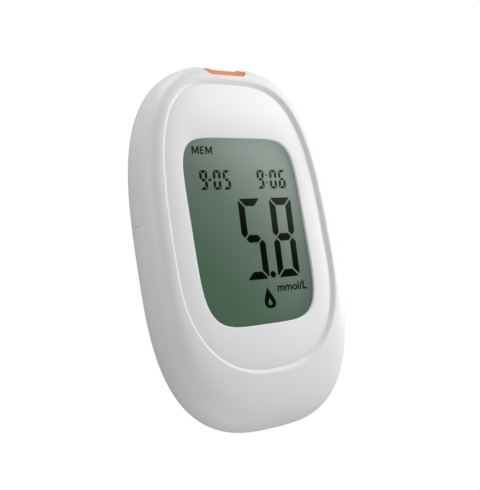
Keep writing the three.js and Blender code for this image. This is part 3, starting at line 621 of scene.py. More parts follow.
def loft(stations: Sequence[Station], annular: bool = False) -> Solid:
    """A closed solid through a row of rings.

    Args:
        stations: The rings, in order.
        annular: True to join the last ring to the first round an opening, False to cap both ends.

    Returns:
        The solid.
    """
    bm = bmesh.new()
    step = bm.verts.layers.int.new("step")
    ring = bmesh.ops.create_circle(bm, segments=OUTLINE_STEPS, radius=1.0)["verts"]
    for number, vert in enumerate(ring):
        vert[step] = number
    edges = first = bm.edges[:]
    for level, station in enumerate(stations):
        if level:
            grown = bmesh.ops.extrude_edge_only(bm, edges=edges)["geom"]
            ring = new_verts(grown)
            edges = [g for g in grown if isinstance(g, bmesh.types.BMEdge) and g.is_boundary]
        for vert in ring:
            vert.co = station.point(TURN * vert[step] / OUTLINE_STEPS)
    if annular:
        bmesh.ops.bridge_loops(bm, edges=first + edges)
    else:
        bmesh.ops.holes_fill(bm, edges=first + edges, sides=0)
    return face_outwards(bm)


def round_edges(bm: Solid, edges: list, radius: float, segments: int = 4) -> None:
    """Rounds edges of a solid.

    Args:
        bm: The solid.
        edges: The edges to round.
        radius: The distance from the old edge to where the round starts.
        segments: The number of faces round each edge.
    """
    bmesh.ops.bevel(
        bm, geom=edges, offset=radius, segments=segments, affect="EDGES", profile=0.5, material=-1,
        clamp_overlap=True,
    )


def edges_along(bm: Solid, direction: Sequence[float]) -> list[bmesh.types.BMEdge]:
    """The edges of a solid that run along a direction."""
    along = Vector(direction)
    return [e for e in bm.edges if abs((e.verts[0].co - e.verts[1].co).normalized().dot(along)) > PARALLEL]


def block(low: Sequence[float], high: Sequence[float], rounding: float = 0.0) -> Solid:
    """A box between two corners.

    Args:
        low: The lowest corner.
        high: The highest corner.
        rounding: The radius of its edges.

    Returns:
        The solid.
    """
    bm = bmesh.new()
    bmesh.ops.create_cube(bm, size=1.0)
    bmesh.ops.scale(bm, vec=Vector(high) - Vector(low), verts=bm.verts)
    bmesh.ops.translate(bm, vec=(Vector(low) + Vector(high)) / 2, verts=bm.verts)
    if rounding:
        round_edges(bm, bm.edges[:], rounding)
    return bm


def rounded_bar(
    low: Sequence[float], high: Sequence[float], corner: float, direction: Sequence[float]
) -> Solid:
    """A bar whose four long edges are round.

    Args:
        low: The lowest corner.
        high: The highest corner.
        corner: The radius of the long edges.
        direction: The direction along the bar.

    Returns:
        The solid.
    """
    bm = block(low, high)
    round_edges(bm, edges_along(bm, direction), corner, segments=CORNER_STEPS)
    return bm


def prism(points: Iterable[Sequence[float]], z0: float, z1: float) -> Solid:
    """An upright prism of a flat shape that is drawn in X and Y.

    Args:
        points: The corners, in order.
        z0: The height of its foot.
        z1: The height of its top.

    Returns:
        The solid.
    """
    bm = bmesh.new()
    face = bm.faces.new([bm.verts.new((x, y, z0)) for x, y in points])
    top = new_verts(bmesh.ops.extrude_face_region(bm, geom=[face])["geom"])
    bmesh.ops.translate(bm, vec=(0, 0, z1 - z0), verts=top)
    return face_outwards(bm)


def turned(profile: Sequence[Flat], sides: int = ROUND_SIDES) -> Solid:
    """A solid turned round the Z axis.

    Args:
        profile: Radius and height of each corner, from one end of the axis to the other.
        sides: The number of faces round it.

    Returns:
        The solid.
    """
    bm = bmesh.new()
    verts = [bm.verts.new((radius, 0, height)) for radius, height in profile]
    edges = [bm.edges.new(pair) for pair in zip(verts, verts[1:])]
    bmesh.ops.spin(
        bm, geom=verts + edges, cent=(0, 0, 0), axis=(0, 0, 1), angle=TURN, steps=sides, use_merge=True
    )
    bmesh.ops.remove_doubles(bm, verts=bm.verts, dist=MERGE_DISTANCE)
    return face_outwards(bm)


def rod(radius: float, place: Flat, z0: float, z1: float, sides: int = ROUND_SIDES) -> Solid:
    """An upright cylinder.

    Args:
        radius: Its radius.
        place: Where its axis stands, in X and Y.
        z0: The height of its foot.
        z1: The height of its top.
        sides: The number of faces round it.

    Returns:
        The solid.
    """
    bm = turned([(0, z0), (radius, z0), (radius, z1), (0, z1)], sides)
    bmesh.ops.translate(bm, vec=(*place, 0), verts=bm.verts)
    return bm


def moved(bm: Solid, place: Sequence[float], angle: float = 0.0) -> Solid:
    """The same solid, turned about the X axis and then shifted.

    Args:
        bm: The solid.
        place: How far it is shifted.
        angle: How far it is turned, in radians.

    Returns:
        The solid.
    """
    turn = Matrix.Rotation(angle, 4, "X")
    bmesh.ops.transform(bm, matrix=Matrix.Translation(Vector(place)) @ turn, verts=bm.verts)
    return bm


def combined(base: Solid, how: Cut, *tools: Solid) -> Solid:
    """Cuts or joins solids.

    Args:
        base: The solid that is worked on, used up.
        how: What is done with each tool.
        *tools: The other solids, used up.

    Returns:
        The result.
    """
    for tool in tools:
        target = put("scratch", mesh_of(base))
        cutter = put("scratch", mesh_of(tool))
        modifier = target.modifiers.new("work", "BOOLEAN")
        modifier.operation = how.value
        modifier.solver = "MANIFOLD"
        modifier.object = cutter
        base = bmesh.new()
        base.from_object(target, bpy.context.evaluated_depsgraph_get())
        for thing in (target, cutter):
            mesh = thing.data
            bpy.data.objects.remove(thing)
            bpy.data.meshes.remove(mesh)
    return base


def together(*parts: Solid) -> Solid:
    """One mesh of several that don't touch.

    Args:
        *parts: The solids, used up.

    Returns:
        All of them as one.
    """
    bm = bmesh.new()
    for part in parts:
        mesh = mesh_of(part)
        bm.from_mesh(mesh)
        bpy.data.meshes.remove(mesh)
    return bm


def show(
    name: str, bm: Solid, finish: Finish, slot: Slot, node: str | None = None, body: Body = Body.CASE
) -> bpy.types.Object:
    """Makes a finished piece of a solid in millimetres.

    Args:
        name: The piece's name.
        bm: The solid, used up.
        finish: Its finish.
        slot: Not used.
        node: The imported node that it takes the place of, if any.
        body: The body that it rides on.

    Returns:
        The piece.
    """
    bmesh.ops.remove_doubles(bm, verts=bm.verts, dist=MERGE_DISTANCE)
    face_outwards(bm)
    bmesh.ops.scale(bm, vec=(MM, MM, MM), verts=bm.verts)
    mesh = mesh_of(bm, name)
    mesh.shade_smooth()
    mesh.set_sharp_from_angle(angle=SMOOTH_ANGLE)
    mesh.materials.append(material_of(finish))
    piece = put(name, mesh)
    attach(piece, body.value)
    if node:
        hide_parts(node)
    log.info("%s: %d faces, rides on %s", name, len(mesh.polygons), body.value)
    return piece


def dress(finish: Finish, *nodes: str) -> None:
    """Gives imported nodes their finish.

    Args:
        finish: The finish.
        *nodes: The nodes' names.
    """
    for name in nodes:
        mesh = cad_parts[name].data
        mesh.materials.clear()
        mesh.materials.append(material_of(finish))
        log.info("%s: packed node, dressed", name)


def box_mm(node: str) -> tuple[Vector, Vector]:
    """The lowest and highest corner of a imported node, in millimetres."""
    low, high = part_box(node)
    return low / MM, high / MM


@dataclass
class CaseForm:
    """The forms that the shells, the key, the door and the trim share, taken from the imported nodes."""

    # Where each outline is widest along Y, and the powers of its upper and lower half.
    case_shape: tuple[float, float, float] = (-3.4, 2.9, 2.95)
    face_shape: tuple[float, float, float] = (-5.4, 3.35, 2.4)
    window_shape: tuple[float, float, float] = (2.95, 6.0, 4.8)
    panel_inset: float = 1.0
    lens_border: float = 1.6
    dome_power: float = 2.75
    hull_power: float = 1.85
    dome_depth: float = 6.95
    flat_back_inset: float = 15.0
    wall: float = 1.8
    seam: float = 0.04
    seam_round: float = 0.09
    seam_shoulder: float = 0.03
    lip_height: float = 0.7
    boss_inset: float = 6.05
    boss_from_top: float = 13.5
    boss_from_bottom: float = 13.0
    case: Outline = field(init=False)
    face: Outline = field(init=False)
    window: Outline = field(init=False)

    def __post_init__(self) -> None:
        """Works out the outlines and heights."""
        rear_low, rear_high = box_mm("rear_shell")
        panel_low, panel_high = box_mm("face_panel")
        lens_low, lens_high = box_mm("display_lens")
        self.top_z = box_mm("front_shell")[1].z
        self.panel_bottom, self.panel_top = panel_low.z, panel_high.z
        self.lens_bottom, self.lens_top = lens_low.z, lens_high.z
        self.widest_z = self.top_z - self.dome_depth
        self.parting_z = rear_high.z - self.lip_height
        grow, border = self.panel_inset, self.lens_border
        self.case = Outline(rear_high.x, -rear_low.y, rear_low.y, *self.case_shape)
        self.face = Outline(panel_high.x + grow, panel_high.y + grow, panel_low.y - grow, *self.face_shape)
        self.window = Outline(
            lens_high.x - border, lens_high.y - border, lens_low.y + border, *self.window_shape
        )

    def on_case(self, inset: float, z: float, share: float = 1.0) -> Station:
        """A ring between the face outline and the case outline."""
        return Station(self.face, self.case, share, inset, z)

    def on_face(self, inset: float, z: float) -> Station:
        """A ring of the face outline."""
        return Station(self.face, self.face, 0.0, inset, z)

    def on_window(self, inset: float, z: float) -> Station:
        """A ring of the window outline."""
        return Station(self.window, self.window, 0.0, inset, z)

    def dome_share(self, z: float) -> float:
        """How far out the dome lies at a height, as a share from the face outline to the case outline."""
        height = (z - self.widest_z) / (self.top_z - self.widest_z)
        return (1 - max(0.0, height) ** self.dome_power) ** (1 / self.dome_power)

    def dome(self, start: float, ceiling: float, inset: float, last_share: float = 0.0) -> list[Station]:
        """The dome's rings from a start height upwards.

        Args:
            start: The height of the lowest ring.
            ceiling: The height of the dome's flat top.
            inset: How far the dome is drawn in.
            last_share: The share at which the rings stop.

        Returns:
            The rings.
        """
        rise = (start - self.widest_z) / (ceiling - self.widest_z)
        first = math.asin(max(0.0, rise) ** (self.dome_power / 2))
        last = math.acos(last_share ** (self.dome_power / 2))
        rings = []
        for step in range(DOME_STEPS + 1):
            angle = first + (last - first) * step / DOME_STEPS
            height = math.sin(angle) ** (2 / self.dome_power)
            out = max(0.0, math.cos(angle)) ** (2 / self.dome_power)
            rings.append(self.on_case(inset, self.widest_z + (ceiling - self.widest_z) * height, out))
        return rings

    def hull(self, floor: float, inset: float) -> list[Station]:
        """The hull's rings from its flat floor up to the widest place.

        Args:
            floor: The height of the floor.
            inset: How far the hull is drawn in.

        Returns:
            The rings.
        """
        rings = []
        for step in range(HULL_STEPS + 1):
            angle = math.pi / 2 * (1 - step / HULL_STEPS)
            deep = math.sin(angle) ** (2 / self.hull_power)
            out = max(0.0, math.cos(angle)) ** (2 / self.hull_power)
            z = self.widest_z - (self.widest_z - floor) * deep
            rings.append(self.on_case(inset + self.flat_back_inset * (1 - out), z))
        return rings

    def hull_solid(self, floor: float, inset: float, top: float) -> Solid:
        """The hull as a solid up to a height, drawn in by an inset, above a floor."""
        return loft([*self.hull(floor, inset), self.on_case(inset, top, self.dome_share(top))])

    def boss_places(self) -> list[Flat]:
        """The places of the four case screws."""
        rows = (self.case.top - self.boss_from_top, self.case.bottom + self.boss_from_bottom)
        return [(side * self.case.half_width_at(self.boss_inset, y), y) for y in rows for side in (-1, 1)]


@dataclass
class StripPort:
    """The strip port: a flared mouth in the shells, its orange trim, and the connector behind it."""

    form: CaseForm
    mouth_depth: float = 3.55
    mouth_half_width: float = 5.5
    corner_width: float = 1.2
    corner_depth: float = 0.9
    flare_share: float = 0.6
    corner_round: float = 0.9
    corner_steps: int = 6
    gap: float = 0.05
    flange_gap: float = 0.15
    set_back: float = 0.4
    under_dome: float = 1.6
    skin: float = 0.35
    ledge: float = 1.8
    funnel_half_width: float = 4.2
    funnel_flare: float = 1.4
    floor_thickness: float = 1.1
    flange_width: float = 17.2
    flange_drop: float = 1.0
    flange_below_panel: float = 2.3
    slot_width: float = 7.4
    slot_height: float = 1.3
    slot_round: float = 0.325
    contact_count: int = 4

    @property
    def floor_y(self) -> float:
        """Where the mouth ends inwards."""
        return self.form.case.top - self.mouth_depth

    def plan(self, floor_y: float, end_y: float, gap: float) -> list[Flat]:
        """The mouth's flared outline.

        Args:
            floor_y: Where it starts.
            end_y: Where it ends.
            gap: How far it is drawn in.

        Returns:
            The corners, in order.
        """
        slope = self.corner_width / self.corner_depth
        corner_x = self.mouth_half_width - gap * math.hypot(1, slope)
        flank_x = self.mouth_half_width + self.corner_width - self.corner_depth * self.flare_share
        flank_x -= gap * math.hypot(1, self.flare_share)
        bend_y = self.floor_y + (flank_x - corner_x) / (slope - self.flare_share)
        floor_half = min(self.mouth_half_width, corner_x + (floor_y - self.floor_y) * slope)
        bend_half = flank_x + (bend_y - self.floor_y) * self.flare_share
        end_half = flank_x + (end_y - self.floor_y) * self.flare_share
        right = [(floor_half, floor_y), (bend_half, bend_y), (end_half, end_y)]
        return right + [(-x, y) for x, y in reversed(right)]

    def mouth(self, floor_y: float, end_y: float, gap: float, z0: float, z1: float) -> Solid:
        """The mouth as a solid between two heights, with round upright corners.

        Args:
            floor_y: Where it starts.
            end_y: Where it ends.
            gap: How far it is drawn in.
            z0: The height of its foot.
            z1: The height of its top.

        Returns:
            The solid.
        """
        bm = prism(self.plan(floor_y, end_y, gap), z0, z1)
        corners = [e for e in edges_along(bm, (0, 0, 1)) if e.verts[0].co.y < end_y - MERGE_DISTANCE]
        round_edges(bm, corners, self.corner_round, segments=self.corner_steps)
        return bm

    def funnel(self, floor_z: float, end_y: float) -> Solid:
        """The widening way in from the mouth's end down to the slot's floor.

        Args:
            floor_z: The height of the slot's floor.
            end_y: Where it ends outwards.

        Returns:
            The cutter.
        """
        start_y = self.floor_y + self.ledge
        wide = self.funnel_half_width + (end_y - start_y) * self.funnel_flare
        narrow = self.funnel_half_width
        corners = [(-narrow, start_y), (narrow, start_y), (wide, end_y), (-wide, end_y)]
        bm = prism(corners, floor_z, self.form.top_z)
        round_edges(bm, edges_along(bm, (0, 0, 1)), self.corner_round, segments=self.corner_steps)
        return bm

    def build(self) -> None:
        """Builds the trim and dresses the connector and its contacts."""
        form = self.form
        low = box_mm("strip_port_trim")[0]
        bottom = low.z + self.flange_drop
        nose_end = form.case.top - self.set_back
        cover = loft([form.on_case(self.skin, bottom), *form.dome(form.widest_z, form.top_z, self.skin)])
        nose = self.mouth(self.floor_y + self.gap, nose_end, self.gap, bottom, form.top_z - self.under_dome)
        nose = combined(nose, Cut.KEEP_COMMON, cover)
        wide = self.flange_width / 2
        top = form.panel_bottom - self.flange_below_panel
        flange = block((-wide, low.y, low.z), (wide, self.floor_y - self.flange_gap, top))
        half = self.mouth_half_width - self.flange_gap
        bridge = block((-half, low.y, bottom), (half, self.floor_y + self.ledge / 2, top))
        trim = combined(nose, Cut.JOIN, flange, bridge)
        slot_z = bottom + self.floor_thickness
        slot = rounded_bar(
            (-self.slot_width / 2, low.y - OVERRUN, slot_z),
            (self.slot_width / 2, form.case.top + OVERRUN, slot_z + self.slot_height),
            self.slot_round,
            (0, 1, 0),
        )
        trim = combined(trim, Cut.TAKE_AWAY, self.funnel(slot_z, nose_end + OVERRUN), slot)
        show("port_trim", trim, ORANGE_ABS, Slot.ORANGE_PLASTIC, "strip_port_trim")
        dress(BLACK_NYLON, "strip_connector")
        dress(GOLD_PLATE, *[f"strip_contact_{i + 1}" for i in range(self.contact_count)])


@dataclass
class FrontShell:
    """The front shell: a domed rim round a sunken face, with the opening for the lens."""

    form: CaseForm
    port: StripPort
    lip_round: float = 0.55
    slope_width: float = 0.85
    slope_depth: float = 0.9
    lens_gap: float = 0.15
    deck: float = 1.2
    rim_steps: int = 6
    first_share: float = 0.1
    boss_radius: float = 2.6
    boss_bottom: float = 9.8
    pilot_radius: float = 1.2
    pilot_top: float = 16.15

    def lip(self) -> list[Station]:
        """The rounded lip where the dome turns down into the recess.

        Returns:
            The rings, from the dome inwards.
        """
        form = self.form
        fall = math.atan2(self.slope_depth, self.slope_width)
        reach = self.lip_round * math.tan(fall / 2)
        rings = []
        for step in range(self.rim_steps + 1):
            angle = fall * step / self.rim_steps
            inset = self.lip_round * math.sin(angle) - reach
            rings.append(form.on_face(inset, form.top_z - self.lip_round * (1 - math.cos(angle))))
        return rings

    def build(self) -> None:
        """Builds the shell."""
        form, port = self.form, self.port
        foot = form.parting_z + form.seam / 2
        foot_share = form.dome_share(foot)
        ceiling = form.lens_top - self.deck
        hole = -form.lens_border - self.lens_gap
        rings = [
            form.on_case(form.seam_round, foot, foot_share),
            form.on_case(form.seam_shoulder, foot + form.seam_shoulder, foot_share),
            *form.dome(foot + form.seam_round, form.top_z, 0.0, self.first_share),
            *self.lip(),
            form.on_face(self.slope_width, form.top_z - self.slope_depth),
            form.on_face(self.slope_width, form.lens_top),
            form.on_window(hole, form.lens_top),
            form.on_window(hole, ceiling),
            *reversed(form.dome(foot, ceiling, form.wall)),
        ]
        mouth_end = form.case.top + OVERRUN
        mouth = port.mouth(port.floor_y, mouth_end, 0.0, form.parting_z - OVERRUN, form.top_z + OVERRUN)
        shell = combined(loft(rings, annular=True), Cut.TAKE_AWAY, mouth)
        for place in form.boss_places():
            boss = rod(self.boss_radius, place, self.boss_bottom, ceiling + self.deck / 2)
            pilot = rod(self.pilot_radius, place, self.boss_bottom - OVERRUN, self.pilot_top)
            shell = combined(shell, Cut.JOIN, combined(boss, Cut.TAKE_AWAY, pilot))
        show("front_cover", shell, WHITE_ABS, Slot.WHITE_SHELL, "front_shell")


@dataclass
class FacePanel:
    """The face sheet that lies in the recess round the display window."""

    form: CaseForm
    edge_gap: float = 0.88
    edge_round: float = 0.1
    window_round: float = 0.22
    steps: int = 4

    def edge(
        self, on_outline: Callable[[float, float], Station], inset: float, shift: float
    ) -> list[Station]:
        """The rounded upper edge of the sheet along one outline.

        Args:
            on_outline: Gives a ring for an inset and a height.
            inset: Where the edge's upright side is.
            shift: The edge's radius, negative where the sheet lies outside the outline.

        Returns:
            The rings, from the foot to the top.
        """
        rings = [on_outline(inset, self.form.panel_bottom)]
        for step in range(self.steps + 1):
            angle = math.pi / 2 * step / self.steps
            z = self.form.panel_top - abs(shift) * (1 - math.sin(angle))
            rings.append(on_outline(inset + shift * (1 - math.cos(angle)), z))
        return rings

    def build(self) -> None:
        """Builds the sheet."""
        outer = self.edge(self.form.on_face, self.edge_gap, self.edge_round)
        inner = self.edge(self.form.on_window, 0.0, -self.window_round)
        sheet = loft([*outer, *reversed(inner)], annular=True)
        piece = show("face_sheet", sheet, FACE_SHEET, Slot.FACE_PANEL, "face_panel")
        # The sheet and lens are one bonded window, so the sheet's edge throws no shade on the display.
        piece.visible_shadow = False
        piece.visible_diffuse = False


class Segment(Enum):
    """The seven strokes of a digit, named for their places."""

    TOP = "a"
    UPPER_RIGHT = "b"
    LOWER_RIGHT = "c"
    BOTTOM = "d"
    LOWER_LEFT = "e"
    UPPER_LEFT = "f"
    MIDDLE = "g"


LIT_SEGMENTS = {"0": "abcdef", "5": "acdfg", "6": "acdefg", "8": "abcdefg", "9": "abcdfg"}
# The bold letters' outlines, as shares of their width and height.
BOLD_LETTERS = {
    "E": [
        (0, 0), (0, 1), (1, 1), (1, 0.83), (0.3, 0.83), (0.3, 0.6), (0.9, 0.6), (0.9, 0.43), (0.3, 0.43),
        (0.3, 0.17), (1, 0.17), (1, 0),
    ],
    "M": [
        (0, 0), (0, 1), (0.24, 1), (0.5, 0.4), (0.76, 1), (1, 1), (1, 0), (0.81, 0), (0.81, 0.64),
        (0.58, 0.1), (0.42, 0.1), (0.19, 0.64), (0.19, 0),
    ],
}


@dataclass(frozen=True)
class DigitStyle:
    """The size and slant of one row of seven-segment digits."""

    width: float
    height: float
    stroke: float
    gap: float
    slant: float
    tip: float

    def stroke_shape(self, segment: Segment) -> list[Flat]:
        """The corners of one stroke, from the digit's lower left corner and before the slant.

        Args:
            segment: The stroke.

        Returns:
            The corners, in order.
        """
        wide, tall, stroke, tip = self.width, self.height, self.stroke, self.tip
        half, apart, middle = stroke / 2, self.gap * math.sqrt(0.5), tall / 2
        if segment is Segment.MIDDLE:
            left, right = half + apart, wide - half - apart
            upper = [(left, middle), (left + half, middle + half), (right - half, middle + half)]
            return upper + [(right, middle), (right - half, middle - half), (left + half, middle - half)]
        if segment in (Segment.TOP, Segment.BOTTOM):
            shape = [
                (apart + tip / 2, tall - tip / 2),
                (apart + tip, tall),
                (wide - apart - tip, tall),
                (wide - apart - tip / 2, tall - tip / 2),
                (wide - stroke - apart, tall - stroke),
                (stroke + apart, tall - stroke),
            ]
        else:
            shape = [
                (0, tall - apart - tip),
                (tip / 2, tall - apart - tip / 2),
                (stroke, tall - apart - stroke),
                (stroke, middle + apart + half),
                (half, middle + apart),
                (0, middle + apart + half),
            ]
        if segment in (Segment.UPPER_RIGHT, Segment.LOWER_RIGHT):
            shape = [(wide - x, y) for x, y in shape]
        if segment in (Segment.BOTTOM, Segment.LOWER_LEFT, Segment.LOWER_RIGHT):
            shape = [(x, tall - y) for x, y in shape]
        return shape

    def strokes(self, digit: str, x: float, y: float, z0: float, z1: float) -> list[Solid]:
        """The strokes of a digit as thin solids, from its lower left corner."""
        shapes = [self.stroke_shape(s) for s in Segment if s.value in LIT_SEGMENTS[digit]]
        return [prism([(x + u + v * self.slant, y + v) for u, v in shape], z0, z1) for shape in shapes]


@dataclass
class Display:
    """The display: lens, gasket, liquid crystal glass, and what the glass shows."""

    form: CaseForm
    lens_round: float = 0.15
    gasket_outer: float = 1.5
    gasket_inner: float = 1.1
    gasket_swell: float = 0.1
    glass_round: float = 0.1
    film_thickness: float = 0.15
    film_inset: float = 0.6
    film_round: float = 0.05
    contact_edge: float = 0.75
    ink_thickness: float = 0.03
    reading: DigitStyle = DigitStyle(7.6, 21.65, 2.05, 0.48, 0.055, 0.45)
    reading_y: float = -9.92
    reading_places: Row = (("5", -2.55), ("8", 8.0))
    point_place: Flat = (6.35, -8.92)
    point_radius: float = 0.93
    small: DigitStyle = DigitStyle(2.45, 5.2, 0.8, 0.26, 0.095, 0.14)
    small_y: float = 14.28
    date_places: Row = (("9", -12.66), ("0", -8.38), ("5", -5.25))
    dash_box: tuple[float, ...] = (-9.7, -8.68, 16.6, 17.15)
    dash_round: float = 0.1833
    clock_places: Row = (("9", 6.05), ("0", 10.45), ("6", 13.58))
    colon_places: tuple[Flat, ...] = ((9.79, 18.0), (9.58, 15.95))
    colon_radius: float = 0.27
    memory_letters: Row = (("M", -13.52), ("E", -10.92), ("M", -9.25))
    memory_widths: tuple[float, ...] = (2.2, 1.25, 2.2)
    memory_y: float = 23.78
    memory_height: float = 2.04
    unit_box: tuple[float, ...] = (6.95, 17.3, -13.62, -11.35)
    word_slant: float = 0.09
    word_weight: float = 0.02
    word_depth: float = 0.5
    drop_place: Flat = (3.94, -14.71)
    drop_height: float = 5.95
    drop_lean: float = -0.08
    drop_power: float = 2.2
    inner_drop_height: float = 2.1
    inner_drop_below: float = 1.15

    @property
    def ink_heights(self) -> Flat:
        """The foot and the top of what the display shows."""
        foot = box_mm("lcd_glass")[1].z
        return foot, foot + self.ink_thickness

    def build_lens(self) -> None:
        """Builds the clear lens behind the window and the foam ring under it."""
        on_window = self.form.on_window
        border, radius = -self.form.lens_border, self.lens_round
        bottom, top = self.form.lens_bottom, self.form.lens_top
        lens = [
            on_window(border + radius, bottom),
            on_window(border, bottom + radius),
            on_window(border, top - radius),
            on_window(border + radius, top),
        ]
        show("window_lens", loft(lens), LENS_ACRYLIC, Slot.CLEAR_LENS, "display_lens")
        foot, head = [corner.z for corner in box_mm("display_gasket")]
        ring = [
            on_window(-self.gasket_outer, foot),
            on_window(-self.gasket_outer, head),
            on_window(-self.gasket_inner, head),
            on_window(-self.gasket_inner + self.gasket_swell, (foot + head) / 2),
            on_window(-self.gasket_inner, foot),
        ]
        gasket = loft(ring, annular=True)
        show("window_gasket", gasket, GASKET_FOAM, Slot.FOAM, "display_gasket")

    def build_glass(self) -> None:
        """Builds the two sheets of glass and the polariser film on the upper one."""
        low, high = box_mm("lcd_glass")
        middle = (low.z + high.z) / 2
        step, inset = self.contact_edge, self.film_inset
        film_z = high.z - self.film_thickness
        lower = block(low, (high.x, high.y, middle), self.glass_round)
        upper = block((low.x, low.y + step, middle), (high.x, high.y, film_z), self.glass_round)
        film_low = (low.x + inset, low.y + step + inset, film_z)
        film = block(film_low, (high.x - inset, high.y - inset, high.z), self.film_round)
        glass = together(lower, upper, film)
        show("display_glass", glass, DISPLAY_CELL, Slot.DISPLAY_GLASS, "lcd_glass")

    def show_ink(self, name: str, *parts: Solid) -> None:
        """Shows dark parts of the readout as one piece."""
        show(name, together(*parts), DISPLAY_INK, Slot.DISPLAY_GLASS)

    def digits(self, style: DigitStyle, places: Row, y: float) -> list[Solid]:
        """The strokes of a row of digits."""
        return [s for digit, x in places for s in style.strokes(digit, x, y, *self.ink_heights)]

    def build_digits(self) -> None:
        """Builds the reading, the date and the time."""
        foot, head = self.ink_heights
        point = rod(self.point_radius, self.point_place, foot, head, SMALL_SIDES)
        reading = self.digits(self.reading, self.reading_places, self.reading_y)
        self.show_ink("reading_digits", *reading, point)
        left, right, bottom, top = self.dash_box
        dash = rounded_bar((left, bottom, foot), (right, top, head), self.dash_round, (0, 0, 1))
        self.show_ink("date_digits", *self.digits(self.small, self.date_places, self.small_y), dash)
        colon = [rod(self.colon_radius, place, foot, head, SMALL_SIDES) for place in self.colon_places]
        self.show_ink("clock_digits", *self.digits(self.small, self.clock_places, self.small_y), *colon)

    def memory_word(self) -> list[Solid]:
        """The bold, narrow letters that say that the reading comes from memory.

        Returns:
            The letters.
        """
        letters = []
        for (letter, x), width in zip(self.memory_letters, self.memory_widths):
            shape = [(x + u * width, v * self.memory_height) for u, v in BOLD_LETTERS[letter]]
            slanted = [(across + up * self.word_slant, self.memory_y + up) for across, up in shape]
            letters.append(prism(slanted, *self.ink_heights))
        return letters

    def word(self, text: str, box: tuple[float, ...]) -> Solid:
        """A short word as a thin solid that fills a box.

        Args:
            text: The word.
            box: Its left, right, bottom and top.

        Returns:
            The solid.
        """
        letters = bpy.data.curves.new("letters", "FONT")
        letters.body = text
        letters.extrude = self.word_depth
        letters.offset = self.word_weight
        thing = put("letters", letters)
        mesh = bpy.data.meshes.new_from_object(thing)
        bm = bmesh.new()
        bm.from_mesh(mesh)
        bpy.data.meshes.remove(mesh)
        bpy.data.objects.remove(thing)
        bpy.data.curves.remove(letters)
        spans = [(min(c), max(c)) for c in zip(*[v.co for v in bm.verts])]
        left, right, bottom, top = box
        targets = [(left, right), (bottom, top), self.ink_heights]
        for vert in bm.verts:
            shares = [(c - lo) / (hi - lo) for c, (lo, hi) in zip(vert.co, spans)]
            vert.co = [lo + s * (hi - lo) for s, (lo, hi) in zip(shares, targets)]
            vert.co.x += (vert.co.y - bottom) * self.word_slant
        return bm

    def drop(self) -> Solid:
        """A drop with a light heart, as a thin solid.

        Returns:
            The solid.
        """
        bm = bmesh.new()
        x0, y0 = self.drop_place
        foot = self.ink_heights[0]
        loops = [(self.drop_height / 2, y0), (self.inner_drop_height / 2, y0 - self.inner_drop_below)]
        for reach, centre_y in loops:
            ring = bmesh.ops.create_circle(bm, segments=ROUND_SIDES, radius=1.0)["verts"]
            for number, vert in enumerate(ring):
                angle = TURN * number / ROUND_SIDES
                across = reach * math.sin(angle) * abs(math.sin(angle / 2)) ** self.drop_power
                along = reach * math.cos(angle)
                x = x0 + across + self.drop_lean * (centre_y + along - y0 + self.drop_height / 2)
                vert.co = (x, centre_y + along, foot)
        bmesh.ops.bridge_loops(bm, edges=bm.edges[:])
        top = new_verts(bmesh.ops.extrude_face_region(bm, geom=bm.faces[:])["geom"])
        bmesh.ops.translate(bm, vec=(0, 0, self.ink_thickness), verts=top)
        return bm

    def build(self) -> None:
        """Builds the display and dresses what is behind it."""
        self.build_lens()
        self.build_glass()
        self.build_digits()
        self.show_ink("memory_word", *self.memory_word())
        self.show_ink("unit_word", self.word("mmol/L", self.unit_box))
        self.show_ink("blood_drop_mark", self.drop())
        dress(SILVERED_FILM, "lcd_reflector")
        dress(BLACK_NYLON, "lcd_frame")
        dress(ZEBRA_RUBBER, "zebra_strip")


